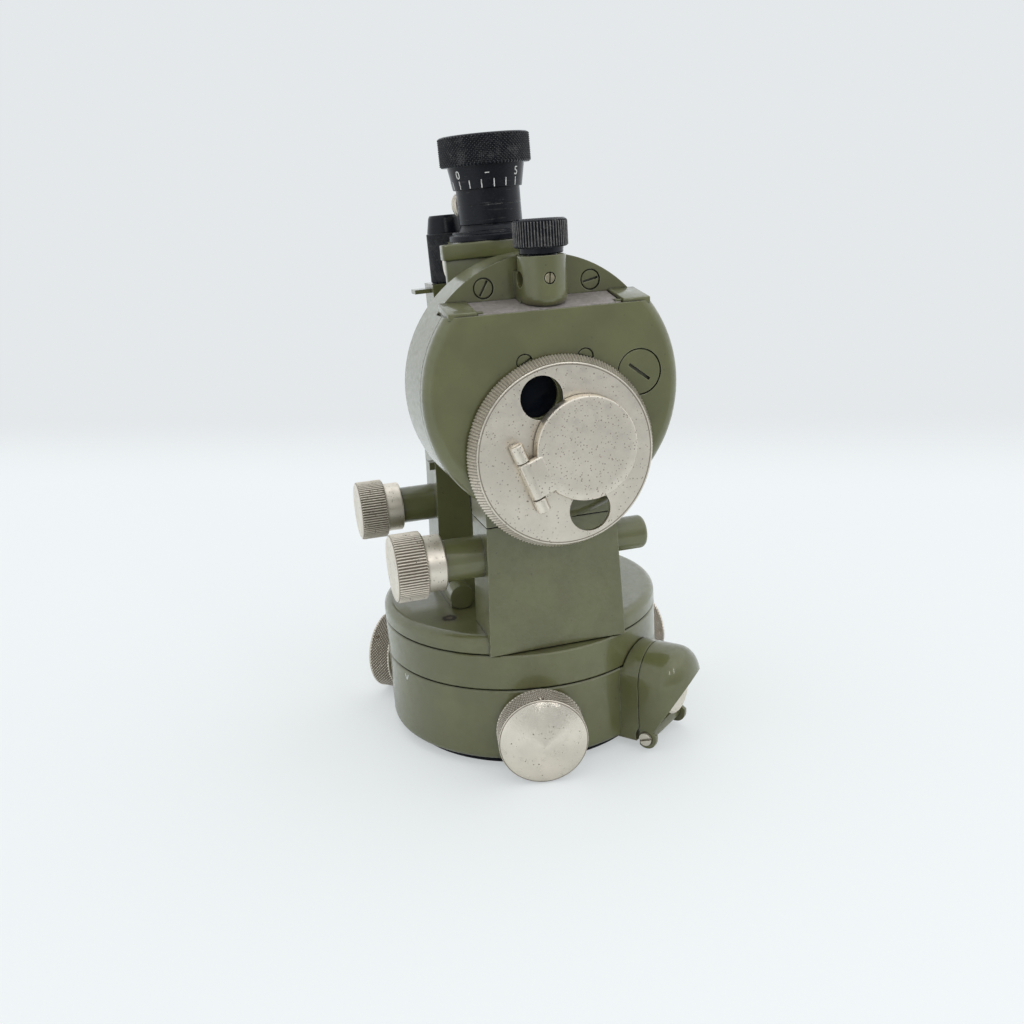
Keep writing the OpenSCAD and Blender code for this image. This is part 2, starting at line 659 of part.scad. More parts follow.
// Vertical circle housing on a foot that stands on the front standard
module circle_housing() {
    color(paint) difference() {
        union() {
            to_front(housing_back_y, trunnion_z) cylinder(r = housing_r, h = sector_y - sector_h - housing_back_y);
            intersection() {
                to_front(housing_back_y, trunnion_z) cylinder(r = housing_r, h = cover_seam_y - housing_back_y);
                translate([-housing_r, -cover_seam_y, 0]) cube([2 * housing_r, cover_seam_y, shelf_z]);
            }
            translate([-standard_top_half_w, -standard_face_y, housing_seam_z])
                cube([2 * standard_top_half_w, standard_face_y - standard_inner_y, housing_foot_h]);
        }
        to_front(wall_front_y, trunnion_z) cylinder(r = housing_in_r, h = sector_y - sector_h - wall_front_y + 0.5);
        intersection() {
            to_front(wall_front_y, trunnion_z) cylinder(r = housing_in_r, h = cover_seam_y);
            translate([-housing_r, -cover_seam_y - cut, 0]) cube([2 * housing_r, cover_seam_y, cavity_top_z]);
        }
        to_front(housing_back_y - cut, trunnion_z) cylinder(r = bush_r, h = housing_wall + 2 * cut);
        translate([-window_half_l, -cover_seam_y - cut, shelf_z - window_h])
            cube([2 * window_half_l, cover_seam_y + cut - sector_y, window_h + cut]);
    }
}

// Cover: a shallow shell with a rounded front edge and a flat shelf on top
module housing_cover() {
    e = cover_edge_r;
    color(paint) difference() {
        intersection() {
            to_front(0, trunnion_z) rotate_extrude() polygon(concat(
                [[0, cover_seam_y], [housing_r - 0.5, cover_seam_y], [housing_r - 0.5, cover_seam_y + 0.2],
                 [housing_r, cover_seam_y + 0.3]],
                arc(housing_r - e, cover_front_y - e, e, 0, 90, 9), [[0, cover_front_y]]));
            translate([-housing_r, -cover_front_y - cut, 0]) cube([2 * housing_r, cover_front_y, shelf_z]);
        }
        intersection() {
            to_front(cover_seam_y - cut, trunnion_z)
                cylinder(r = housing_in_r - 1, h = cover_front_y - cover_wall - cover_seam_y + cut);
            translate([-housing_r, -cover_front_y - cut, 0]) cube([2 * housing_r, cover_front_y, cavity_top_z]);
        }
        translate([-window_half_l, -window_front_y, shelf_z - window_h])
            cube([2 * window_half_l, window_front_y, window_h + cut]);
        to_front(cover_seam_y, disc_z) cylinder(r = stud_r, h = cover_front_y);
        to_front(cover_front_y - 1.5, trunnion_z + plug_up, plug_x) cylinder(r = plug_r, h = 2);
        on_disc() {
            to_front(cover_seam_y, disc_hole_pcr) cylinder(r = disc_hole_r + 0.3, h = cover_front_y);
            to_front(cover_seam_y, 0, port_u) cylinder(r = port_r, h = cover_front_y);
        }
        for (s = [-1, 1]) to_front(cover_front_y - 1, trunnion_z + cover_screw_up, s * cover_screw_x)
            cylinder(r = cover_screw_r, h = 2);
    }
}

// Sector plate: the raised back plate, its two tabs and the boss of the prism knob
module sector_plate() {
    color(paint) difference() {
        union() {
            intersection() {
                to_front(sector_y - sector_h, trunnion_z) cylinder(r = housing_r, h = sector_h);
                translate([-housing_r, -sector_y, shelf_z]) cube([2 * housing_r, sector_h, boss_top_z - shelf_z]);
            }
            for (s = [-1, 1]) translate([s * (window_half_l + 0.2 + tab_end_x) / 2, 0, 0])
                translate([-(tab_end_x - window_half_l - 0.2) / 2, -window_front_y, shelf_z])
                cube([tab_end_x - window_half_l - 0.2, window_front_y - sector_y + sector_h, tab_h]);
            translate([0, -prism_y, 0]) rotate_extrude() polygon(concat(
                [[0, shelf_z + 0.2], [boss_r - 3, shelf_z + 0.2]],
                arc(boss_r - 3, shelf_z + 3.2, 3, -90, 0, 6), [[boss_r, boss_top_z], [0, boss_top_z]]));
            translate([-boss_r, -prism_y, shelf_z + 0.2]) cube([2 * boss_r, prism_y - sector_y + 1, boss_top_z - shelf_z - 4.2]);
        }
        translate([0, -prism_y, shelf_z + 3.5]) cylinder(r = prism_bore_r, h = boss_top_z);
        translate([0, -prism_y, boss_top_z - 6]) rotate([0, -90, 0]) cylinder(r = sight_hole_r, h = boss_r + cut);
        for (s = [-1, 1]) to_front(sector_y - 1.2, trunnion_z + sector_screw_up, s * sector_screw_x)
            cylinder(r = sector_screw_r, h = 2);
        to_front(prism_y + boss_r - 1.2, boss_top_z - 5.8, 0) cylinder(r = 1.6, h = 2);
    }
}
module index_window() {
    color(glass) translate([-window_half_l + 0.1, -window_front_y + 0.1, shelf_z - window_h])
        cube([2 * window_half_l - 0.2, window_front_y - sector_y - 0.2, window_h]);
}
module index_level_vial() {
    color(glass) translate([-index_vial_l / 2, -cover_seam_y + 1.5, cavity_top_z - index_vial_r])
        rotate([0, 90, 0]) cylinder(r = index_vial_r, h = index_vial_l);
}
module housing_screws() {
    color(nickel) {
        for (s = [-1, 1]) {
            to_front(sector_y - 1.2, trunnion_z + sector_screw_up, s * sector_screw_x)
                ring_screw(sector_screw_r - 0.1, 1.1, s < 0 ? 60 : 12);
            to_front(cover_front_y - 1, trunnion_z + cover_screw_up, s * cover_screw_x)
                ring_screw(cover_screw_r - 0.1, 0.9, s < 0 ? 30 : -20);
        }
        to_front(prism_y + boss_r - 1.2, boss_top_z - 5.8, 0) ring_screw(1.5, 1.1, 85);
    }
}
module ring_screw(r, h, turn) {
    difference() {
        cylinder(r = r, h = h);
        rotate([0, 0, turn]) translate([-r - cut, -screw_slot_w / 2, h - 0.5])
            cube([2 * r + 2 * cut, screw_slot_w, cut]);
    }
}
module cover_plug() {
    color(paint) to_front(cover_front_y - 1.5, trunnion_z + plug_up, plug_x) difference() {
        cylinder(r = plug_r - 0.12, h = 1.45);
        rotate([0, 0, -38]) translate([-plug_r * 0.6, -0.45, 0.5]) cube([plug_r * 1.2, 0.9, 2]);
    }
}
module light_windows() {
    color([0.10, 0.13, 0.18]) on_disc() {
        to_front(cover_front_y - 2.2, disc_hole_pcr) cylinder(r = disc_hole_r + 0.3, h = 1);
        to_front(cover_front_y - 2.2, 0, port_u) cylinder(r = port_r, h = 1);
    }
}
module disc_pivot() {
    color(nickel) to_front(cover_front_y - cover_wall, disc_z) {
        cylinder(r = stud_r, h = cover_wall + disc_gap + disc_h - 1.6);
        translate([0, 0, cover_wall + 0.1]) cylinder(r = stud_r + 2, h = disc_gap - 0.3);
    }
}

// Plate level beside the standards, with its vial in a slotted tube
module plate_level_tube() {
    r = level_tube_r;
    color(paint) translate([-level_tube_x, level_tube_l / 2, level_tube_z]) rotate([90, 0, 0]) difference() {
        union() {
            cylinder(r = r, h = level_tube_l);
            translate([-r + 0.6, -r, 2]) cube([2 * r - 1.2, r, level_tube_l - 4]);
        }
        translate([0, 0, 2]) cylinder(r = vial_r, h = level_tube_l - 4);
        translate([-r - cut, 0.8, 6]) cube([r + cut, r, level_tube_l - 12]);
        translate([-1.4, 0, 6]) cube([2.8, r + cut, level_tube_l - 12]);
    }
}
module plate_level_vial() {
    color(glass) translate([-level_tube_x, level_tube_l / 2 - 2.4, level_tube_z]) rotate([90, 0, 0])
        cylinder(r = vial_r, h = level_tube_l - 4.8);
}

// Bushes in the alidade: two tangent screw nuts and two trunnion bushes
module alidade_bushes() {
    color(bronze) {
        for (s = [-1, 1]) to_left(tangent_boss_x - 9, s * tangent_y, tangent_z)
            ring(boss_bore_r, tangent_screw_r + run, 9);
        to_front(housing_back_y, trunnion_z) ring(bush_r, journal_r + run, housing_wall);
        translate([0, standard_face_y, trunnion_z]) rotate([90, 0, 0])
            ring(bush_r, journal_r + run, standard_face_y - standard_inner_y);
    }
}
module trunnion_cap() {
    color(paint) translate([0, standard_face_y + 2.4, trunnion_z]) rotate([90, 0, 0]) difference() {
        rotate_extrude() polygon([[0, 0], [12.5, 0], [13.5, 1], [13.5, 2.4], [0, 2.4]]);
        rotate([0, 0, 40]) translate([-5, -0.5, -cut]) cube([10, 1, cut + 0.8]);
    }
}

// Tangent knob with its screw, and the plunger it pushes
module tangent_knob(y) {
    r = tangent_knob_r;
    back = tangent_boss_x + 0.4;
    face = back + tangent_collar_l + tangent_knurl_l;
    color(nickel) difference() {
        to_left(0, y, tangent_z) rotate_extrude() polygon([
            [0, 10.8], [tangent_screw_r - 0.3, 10.8], [tangent_screw_r, 11.1], [tangent_screw_r, back],
            [tangent_collar_r - 0.4, back], [tangent_collar_r, back + 0.4],
            [tangent_collar_r, back + tangent_collar_l], [r - 0.5, back + tangent_collar_l],
            [r, back + tangent_collar_l + 0.5], [r, face - 0.8], [r - 0.8, face], [0, face]]);
        translate([-face + 4.2, y, tangent_z]) rotate([y < 0 ? 70 : 95, 0, 0])
            translate([0, 0, r - 1.2]) cylinder(r = 0.8, h = 2);
    }
}
module plunger(y) {
    color(bronze) to_left(-6, y, tangent_z) cylinder(r = plunger_r, h = 15.2);
}
module front_tangent_knob() { tangent_knob(-tangent_y); }
module rear_tangent_knob() { tangent_knob(tangent_y); }
module front_plunger() { plunger(-tangent_y); }
module rear_plunger() { plunger(tangent_y); }

// Prism knob with its shaft, and the prism that it turns
module prism_knob() {
    neck = boss_top_z + 0.3;
    low = neck + prism_neck_h;
    r = prism_knob_r;
    color(black_metal) translate([0, -prism_y, 0]) rotate_extrude() polygon([
        [0, shelf_z + 9.6], [prism_bore_r - run, shelf_z + 9.6], [prism_bore_r - run, neck],
        [prism_neck_r, neck], [prism_neck_r, low], [r - 0.4, low], [r, low + 0.4],
        [r, low + prism_knob_h - 0.9], [r - 0.9, low + prism_knob_h], [0, low + prism_knob_h]]);
}
module index_prism() {
    color(glass) translate([-2.4, -prism_y - 2.4, shelf_z + 4]) cube([4.8, 4.8, 5.6]);
}

// Illumination disc with its two holes, the port under the cap and two hinge knuckles
module knuckle(v0, v1) {
    translate([-cap_hinge_u, -hinge_y, v0]) cylinder(r = hinge_r, h = v1 - v0);
    translate([-cap_hinge_u - 1.3, -hinge_y, v0]) cube([2.6, hinge_y - disc_front_y + 0.3, v1 - v0]);
}
module illumination_disc() {
    color(nickel) on_disc() difference() {
        union() {
            to_front(disc_back_y, 0) rotate_extrude() polygon([[0, 0], [disc_r - 0.3, 0], [disc_r, 0.4],
                [disc_face_r + 0.3, disc_h - 0.3], [disc_face_r, disc_h], [0, disc_h]]);
            knuckle(hinge_low, hinge_low_end);
            knuckle(hinge_mid_end, hinge_high);
        }
        to_front(disc_back_y - cut, 0) cylinder(r = stud_r + run, h = disc_h - 1.2 + cut);
        for (s = [-1, 1]) to_front(disc_back_y - cut, s * disc_hole_pcr) cylinder(r = disc_hole_r, h = disc_h + 2 * cut);
        for (s = [-1, 1]) to_front(disc_back_y - 0.01, s * disc_hole_pcr)
            cylinder(r1 = disc_hole_r + 2, r2 = disc_hole_r, h = disc_h - disc_web);
        to_front(disc_back_y - cut, 0, port_u) cylinder(r = port_r + 0.5, h = disc_h + 2 * cut);
        translate([-cap_hinge_u, -hinge_y, hinge_low - cut]) cylinder(r = hinge_pin_r, h = hinge_high - hinge_low + 2 * cut);
    }
}
module cap_hinge_pin() {
    color(nickel) on_disc() translate([-cap_hinge_u, -hinge_y, hinge_low + 0.2])
        cylinder(r = hinge_pin_r, h = hinge_high - hinge_low + 0.1);
}
module mirror_cap() {
    color(nickel) on_disc() difference() {
        union() {
            to_front(cap_back_y, 0, cap_offset) rotate_extrude() polygon([[0, 0], [cap_r, 0], [cap_r, cap_h - 0.9],
                [cap_r - 0.9, cap_h], [0, cap_h]]);
            translate([-cap_hinge_u, -hinge_y, hinge_low_end + 0.2])
                cylinder(r = hinge_r, h = hinge_mid_end - hinge_low_end - 0.4);
            translate([-cap_hinge_u, -cap_front_y + 1.6, hinge_low_end + 0.2])
                cube([6, cap_h - 2, hinge_mid_end - hinge_low_end - 0.4]);
        }
        translate([-cap_hinge_u, -hinge_y, hinge_low]) cylinder(r = hinge_pin_r + run, h = hinge_high - hinge_low);
        to_front(cap_back_y - cut, 0, cap_offset) cylinder(r = cap_r - 1.5, h = cut + 1.2);
    }
}
module cap_mirror() {
    color(glass) on_disc() to_front(cap_back_y + 0.1, 0, cap_offset) cylinder(r = cap_r - 1.5, h = 1.1);
}

// Telescope: square body on top, round tube below, and a hub on the trunnion axis
module telescope_body() {
    color(paint) parked() difference() {
        union() {
            translate([0, 0, block_bottom]) linear_extrude(block_top - block_bottom)
                round_square(block_half_w, block_corner_r);
            translate([0, 0, block_top - block_cap_h]) linear_extrude(block_cap_h)
                round_square(block_cap_half_w, cap_corner_r);
            translate([0, 0, -objective_l + cell_l - 2]) cylinder(r = objective_r, h = objective_l - cell_l + 2 + block_bottom);
            translate([0, rear_hub_y, 0]) rotate([90, 0, 0]) cylinder(r = tele_hub_r, h = rear_hub_y + hub_end_y);
        }
        translate([0, 0, -objective_l]) cylinder(r = sight_bore_r, h = objective_l + block_top + cut);
        translate([0, 0, -objective_l]) cylinder(r = objective_r - 2.2, h = objective_l - 12);
        translate([0, rear_hub_y + cut, 0]) rotate([90, 0, 0]) cylinder(r = journal_r, h = rear_hub_y - sight_bore_r - 2 + cut);
        translate([0, -sight_bore_r - 2, 0]) rotate([90, 0, 0]) cylinder(r = journal_r, h = hub_end_y);
        to_left(block_half_w - 3, 0, focus_z) cylinder(r = 2.05, h = 6);
    }
}
module trunnion_journals() {
    color(nickel) parked() {
        translate([0, standard_face_y - 1, 0]) rotate([90, 0, 0]) cylinder(r = journal_r, h = standard_face_y - 1 - sight_bore_r - 2);
        translate([0, -sight_bore_r - 2, 0]) rotate([90, 0, 0]) cylinder(r = journal_r, h = 26);
    }
}
module vertical_circle() {
    color(glass) parked() translate([0, -wall_front_y - 2.6, 0]) rotate([90, 0, 0]) ring(v_circle_r, journal_r, 2.8);
}
module objective_cell() {
    color(black_metal) parked() difference() {
        translate([0, 0, -objective_l]) rotate_extrude() polygon([[objective_lens_r - 1, 0], [cell_r - 0.5, 0],
            [cell_r, 0.5], [cell_r, cell_l - 2.4], [objective_r, cell_l - 2], [objective_r, cell_l - 2 - 0.01],
            [objective_lens_r - 1, cell_l - 2]]);
        translate([0, 0, -objective_l + 2]) cylinder(r = objective_lens_r, h = cell_l);
    }
}
module objective_lens() {
    color(glass) parked() translate([0, 0, -objective_l + 2]) cylinder(r = objective_lens_r, h = 5);
}
module eyepiece_tube() {
    b = barrel_r;
    color(black_metal) parked() difference() {
        rotate_extrude() polygon([[sight_bore_r, block_top], [flange_r, block_top],
            [flange_r, block_top + 1.8], [flange_r - 1, block_top + flange_h], [b + 0.3, block_top + flange_h],
            [b - 0.15, block_top + flange_h + 1.2], [b - 0.15, block_top + flange_h + 1.8],
            [b, block_top + flange_h + 2], [b, barrel_top], [sight_bore_r, barrel_top]]);
        on_barrel() cylinder(r = reticle_pin_r, h = 2 * b);
    }
}
module eyepiece_ring() {
    r = eye_ring_r;
    color(black_metal) parked() rotate_extrude() polygon([[barrel_r + run, scale_bottom],
        [barrel_r + 0.75, scale_bottom], [barrel_r + 1.85, knurl_bottom - 0.5], [barrel_r + 1.85, knurl_bottom],
        [r - 0.5, knurl_bottom], [r, knurl_bottom + 0.6], [r, eye_top - 0.7], [r - 0.7, eye_top],
        [r - 2.4, eye_top], [5.4, eye_top - 2.6], [5.4, eye_top - 3.9], [barrel_r + run, eye_top - 3.9]]);
}
module eyepiece_lens() {
    color(glass) parked() {
        translate([0, 0, barrel_top - 8]) cylinder(r = lens_cell_r, h = 8);
        translate([0, 0, barrel_top]) cylinder(r = 6.4, h = 6);
    }
}
module focus_knob() {
    r = focus_knob_r;
    color(nickel) parked() to_left(0, 0, focus_z) rotate_extrude() polygon([[0, 8.6], [2, 8.6],
        [2, block_cap_half_w + 0.3], [r - 0.3, block_cap_half_w + 0.3], [r, block_cap_half_w + 0.6],
        [r, block_cap_half_w + 1.5], [r - 0.4, block_cap_half_w + 1.9], [0, block_cap_half_w + 1.9]]);
}
module focusing_lens() {
    color(glass) parked() translate([0, 0, 14]) cylinder(r = focus_cell_r, h = 8);
}

// Reading microscope beside the telescope
module microscope_foot() {
    color(paint) parked() difference() {
        union() {
            translate([-micro_x - micro_half_w - 1.2, micro_y - micro_half_w, tele_hub_r - 6])
                cube([2 * micro_half_w + 2.4, 2 * micro_half_w, micro_foot - tele_hub_r + 6]);
            translate([-micro_x, block_half_w - 1.4, 16]) cube([micro_x + 4, 6.5, 7]);
        }
        translate([-block_half_w, -block_half_w, 0]) cube([2 * block_half_w, 2 * block_half_w, block_top]);
        translate([0, rear_hub_y + cut, 0]) rotate([90, 0, 0]) cylinder(r = tele_hub_r, h = 2 * rear_hub_y);
        cylinder(r = objective_r, h = block_bottom);
        translate([-micro_x, micro_y, tele_hub_r]) cylinder(r = 3, h = micro_foot);
    }
}
module microscope_sleeve() {
    r = micro_r;
    color(black_metal) parked() translate([-micro_x, micro_y, micro_foot + 0.1]) rotate_extrude() polygon([
        [2.6, -4], [2.95, -4], [2.95, 0], [r - 0.2, 0], [r, micro_sleeve_l - 0.3], [r - 0.3, micro_sleeve_l],
        [r - 1, micro_sleeve_l + micro_top_l - 0.8], [r - 1.6, micro_sleeve_l + micro_top_l],
        [4, micro_sleeve_l + micro_top_l], [2.6, micro_sleeve_l + micro_top_l - 1.6]]);
}
module reticle_cap() {
    r = reticle_cap_r;
    color(nickel) parked() on_barrel() rotate_extrude() polygon([[0, barrel_r - 1.2], [reticle_pin_r, barrel_r - 1.2],
        [reticle_pin_r, barrel_r + 0.15], [r - 0.2, barrel_r + 0.15], [r, barrel_r + 0.4],
        [r, barrel_r + 1.9], [r - 0.4, barrel_r + 2.3], [0, barrel_r + 2.3]]);
}
module sight_vane() {
    color(paint) parked() translate([-micro_x - micro_half_w - 6.4, micro_y - 3, micro_foot - 2.6]) cube([5.2, 6, 1.3]);
}

base_body();
bottom_plate();
bottom_plate_screws();
base_bushes();
circle_ring();
cover_pivot_screws();
level_knob(0);  // level_knob_1
level_knob(1);  // level_knob_2
level_knob(2);  // level_knob_3
level_cam(0);  // level_cam_1
level_cam(1);  // level_cam_2
level_cam(2);  // level_cam_3
foot_plunger(0);  // foot_plunger_1
foot_plunger(1);  // foot_plunger_2
foot_plunger(2);  // foot_plunger_3
circle_cover();
circle_drive_knob();
circle_carrier();
horizontal_circle();
alidade_plate();
spindle();
front_standard();
rear_standard();
circle_housing();
housing_cover();
sector_plate();
index_window();
index_level_vial();
housing_screws();
cover_plug();
light_windows();
disc_pivot();
plate_level_tube();
plate_level_vial();
alidade_bushes();
trunnion_cap();
front_tangent_knob();
front_plunger();
rear_tangent_knob();
rear_plunger();
prism_knob();
index_prism();
illumination_disc();
cap_hinge_pin();
mirror_cap();
cap_mirror();
telescope_body();
trunnion_journals();
vertical_circle();
objective_cell();
objective_lens();
eyepiece_tube();
eyepiece_ring();
eyepiece_lens();
focus_knob();
focusing_lens();
microscope_foot();
microscope_sleeve();
reticle_cap();
sight_vane();
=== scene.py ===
import json
import math

import bmesh
import bpy
from bpy.props import FloatProperty, FloatVectorProperty, IntProperty, PointerProperty
from mathutils import Matrix, Vector


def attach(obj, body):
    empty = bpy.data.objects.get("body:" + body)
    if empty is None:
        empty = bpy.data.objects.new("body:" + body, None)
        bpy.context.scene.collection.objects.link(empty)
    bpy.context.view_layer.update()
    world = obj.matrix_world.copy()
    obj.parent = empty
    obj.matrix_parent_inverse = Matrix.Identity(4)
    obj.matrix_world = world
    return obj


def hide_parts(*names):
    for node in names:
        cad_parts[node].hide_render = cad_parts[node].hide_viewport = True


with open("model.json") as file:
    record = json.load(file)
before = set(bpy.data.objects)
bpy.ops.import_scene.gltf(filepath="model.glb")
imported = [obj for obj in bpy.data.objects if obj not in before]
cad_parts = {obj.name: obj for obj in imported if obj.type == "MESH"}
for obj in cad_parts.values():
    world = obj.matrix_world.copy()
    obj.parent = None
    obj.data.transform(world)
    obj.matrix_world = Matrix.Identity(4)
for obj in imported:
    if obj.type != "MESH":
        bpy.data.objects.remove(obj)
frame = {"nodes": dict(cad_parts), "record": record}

bl_info = {
    "name": "Optical theodolite",
    "version": (1, 0, 0),
    "blender": (4, 5, 0),
    "location": "3D View > Sidebar > Theodolite",
    "description": "Builds the knurled, hinged and marked pieces of a theodolite and gives it its finishes",
    "category": "Object",
}

MM = 0.001

# A new file's own cube, light and camera aren't part of the instrument
for starter in ("Cube", "Light", "Camera"):
    if starter in bpy.data.objects:
        bpy.data.objects.remove(bpy.data.objects[starter])
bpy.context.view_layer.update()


# Sizes and colours that a user would change
class TheodoliteFinishes(bpy.types.PropertyGroup):
    """Colours of the instrument's finishes"""

    enamel: FloatVectorProperty(
        name="Olive enamel", description="Colour of the stove enamel on the castings",
        subtype="COLOR", min=0, max=1, default=(0.110, 0.113, 0.043))
    worn_enamel: FloatVectorProperty(
        name="Worn enamel", description="Pale colour of the enamel where edges are rubbed",
        subtype="COLOR", min=0, max=1, default=(0.36, 0.35, 0.25))
    nickel: FloatVectorProperty(
        name="Nickel", description="Colour of the satin nickel plate",
        subtype="COLOR", min=0, max=1, default=(0.75, 0.69, 0.595))
    tarnish: FloatVectorProperty(
        name="Tarnish", description="Colour of the pits and stains in the nickel",
        subtype="COLOR", min=0, max=1, default=(0.10, 0.072, 0.042))
    black: FloatVectorProperty(
        name="Black", description="Colour of the black anodised pieces",
        subtype="COLOR", min=0, max=1, default=(0.0055, 0.0065, 0.0095))
    bared: FloatVectorProperty(
        name="Bared metal", description="Colour of the metal where the black is rubbed off",
        subtype="COLOR", min=0, max=1, default=(0.42, 0.40, 0.38))
    edge: FloatProperty(
        name="Rubbed edge", description="Width over which an edge is rounded and rubbed",
        subtype="DISTANCE", min=0, max=0.002, default=0.0005)


class TheodoliteKnurls(bpy.types.PropertyGroup):
    """Counts and depths of the knurled grips"""

    diamonds: IntProperty(
        name="Diamonds", description="Diamonds round a levelling knob and round the eyepiece ring",
        min=20, max=120, default=76)
    diamond_depth: FloatProperty(
        name="Diamond depth", description="Depth of the diamond knurl",
        subtype="DISTANCE", min=0, max=0.001, default=0.00042)
    tangent_ridges: IntProperty(
        name="Tangent ridges", description="Ridges round a tangent knob",
        min=20, max=90, default=70)
    tangent_depth: FloatProperty(
        name="Tangent ridge depth", description="Depth of the grooves between the tangent knobs' ridges",
        subtype="DISTANCE", min=0, max=0.001, default=0.00038)
    prism_ridges: IntProperty(
        name="Prism knob ridges", description="Ridges round the prism knob",
        min=16, max=80, default=54)
    disc_teeth: IntProperty(
        name="Disc teeth", description="Fine teeth round the light disc",
        min=60, max=300, default=184)


class TheodoliteStage(bpy.types.PropertyGroup):
    """Light and floor that the instrument is shown on"""

    floor: FloatVectorProperty(
        name="Floor", description="Colour of the floor round the instrument",
        subtype="COLOR", min=0, max=1, default=(0.875, 0.905, 0.912))
    backdrop: FloatVectorProperty(
        name="Backdrop", description="Colour of the backdrop",
        subtype="COLOR", min=0, max=1, default=(0.776, 0.807, 0.823))
    daylight: FloatProperty(
        name="Daylight", description="Strength of the even light from all round",
        min=0, max=4, default=0.89)
    overhead: FloatProperty(
        name="Overhead light", description="Strength of the broad light from above",
        min=0, max=10, default=0.45)
    windows: FloatProperty(
        name="Windows", description="Power of each of the two narrow windows that glint in the enamel",
        subtype="POWER", min=0, max=10, default=0.25)


# Slack, in mm, when points are picked out by their height, and by their radius
HAIR = 0.01
NEAR = 0.05
# Bevel, in mm, of small marks and slots, and of the shapes that only cut
CRISP = 0.02
KEEN = 0.01


# Modelling by hand, in code
def edit():
    """Enters edit mode with everything selected."""
    bpy.ops.object.mode_set(mode="EDIT")
    bpy.ops.mesh.select_all(action="SELECT")


def leave():
    bpy.ops.object.mode_set(mode="OBJECT")


def put_down():
    """Leaves edit mode and deselects everything."""
    if bpy.context.mode != "OBJECT":
        leave()
    bpy.ops.object.select_all(action="DESELECT")


def pick_up(obj):
    """Makes one object the only one selected, and the active one."""
    put_down()
    obj.select_set(True)
    bpy.context.view_layer.objects.active = obj


def fresh(name):
    """The object that was just added, with its name."""
    obj = bpy.context.active_object
    obj.name = name
    obj.data.name = name
    return obj


def select_points(obj, test):
    """Selects the points whose place in mm passes a test. The object is in edit mode."""
    bpy.ops.mesh.select_mode(type="VERT")
    bpy.ops.mesh.select_all(action="DESELECT")
    mesh = bmesh.from_edit_mesh(obj.data)
    for point in mesh.verts:
        if test(point.co / MM):
            point.select_set(True)
    mesh.select_flush_mode()
    bmesh.update_edit_mesh(obj.data)


def tidy(obj, smooth=32):
    """Merges doubles, turns the faces outwards and shades smooth below an angle in degrees."""
    pick_up(obj)
    edit()
    bpy.ops.mesh.remove_doubles(threshold=MM / 1000)
    bpy.ops.mesh.normals_make_consistent(inside=False)
    leave()
    bpy.ops.object.shade_smooth_by_angle(angle=math.radians(smooth))
    return obj


def turned(name, profile, columns=64):
    """A piece turned on a lathe: its profile, in mm as (radius, height), spun round Z."""
    put_down()
    bpy.ops.mesh.primitive_plane_add(size=MM)
    obj = fresh(name)
    edit()
    bpy.ops.mesh.merge(type="CENTER")
    radius, height = profile[0]
    bpy.ops.transform.translate(value=(radius * MM, 0, height * MM))
    for next_radius, next_height in profile[1:]:
        step = ((next_radius - radius) * MM, 0, (next_height - height) * MM)
        bpy.ops.mesh.extrude_vertices_move(TRANSFORM_OT_translate={"value": step})
        radius, height = next_radius, next_height
    bpy.ops.mesh.select_all(action="SELECT")
    bpy.ops.mesh.spin(steps=columns, angle=2 * math.pi, center=(0, 0, 0), axis=(0, 0, 1))
    leave()
    return tidy(obj)


def band(radius, low, high, rows, slope=0.0):
    """Profile points up a band, so that it can be knurled. Slope narrows it upwards."""
    height = high - low
    return [(radius - slope * height * i / rows, low + height * i / rows) for i in range(rows + 1)]


def column_of(place, columns):
    return round(math.atan2(place.y, place.x) / (2 * math.pi / columns)) % columns


def knurl(obj, radius, low, high, columns, depth, chosen, slope=0.0):
    """Sinks the chosen points of a band towards the axis, by depth in mm."""
    pick_up(obj)
    edit()

    def sunk(place):
        if not low - HAIR < place.z < high + HAIR:
            return False
        if abs(math.hypot(place.x, place.y) + slope * (place.z - low) - radius) > NEAR:
            return False
        return chosen(place, column_of(place, columns))

    select_points(obj, sunk)
    share = (radius - depth) / radius
    bpy.ops.transform.resize(value=(share, share, 1), center_override=(0, 0, 0))
    leave()
    return obj


def diamond_knurl(obj, radius, low, high, rows, columns, depth):
    """Small pyramids: every other point of the band's grid is sunk, and faces are split in the valleys."""
    pitch = (high - low) / rows
    knurl(obj, radius, low, high, columns, depth,
          lambda place, column: (column + round((place.z - low) / pitch)) % 2 == 1)
    edit()
    select_points(obj, lambda place: low - HAIR < place.z < high + HAIR
                  and math.hypot(place.x, place.y) > radius - depth - NEAR)
    bpy.ops.mesh.quads_convert_to_tris(quad_method="SHORTEST_DIAGONAL")
    leave()
    return tidy(obj, smooth=18)


def ridge_knurl(obj, radius, low, high, columns, depth):
    """Straight ridges: two columns of four are sunk."""
    knurl(obj, radius, low, high, columns, depth, lambda place, column: column % 4 > 1)
    return tidy(obj, smooth=24)


def rod(name, radius, length, chamfer=0.25, columns=40):
    return turned(name, [(0, 0), (radius - chamfer, 0), (radius, chamfer), (radius, length - chamfer),
                         (radius - chamfer, length), (0, length)], columns)


def rough_box(name, size, centre):
    """A box with its size and centre in mm, in edit mode and selected all over."""
    put_down()
    bpy.ops.mesh.primitive_cube_add(size=MM)
    obj = fresh(name)
    edit()
    bpy.ops.transform.resize(value=size, center_override=(0, 0, 0))
    bpy.ops.transform.translate(value=[c * MM for c in centre])
    return obj


def eased(obj, edge, segments):
    """Rounds the selected edges by a width in mm, and leaves edit mode."""
    bpy.ops.mesh.bevel(offset=edge * MM, segments=segments, affect="EDGES")
    leave()
    return tidy(obj)


def block(name, size, centre=(0, 0, 0), edge=0.3, segments=2):
    """A block with rounded edges."""
    return eased(rough_box(name, size, centre), edge, segments)


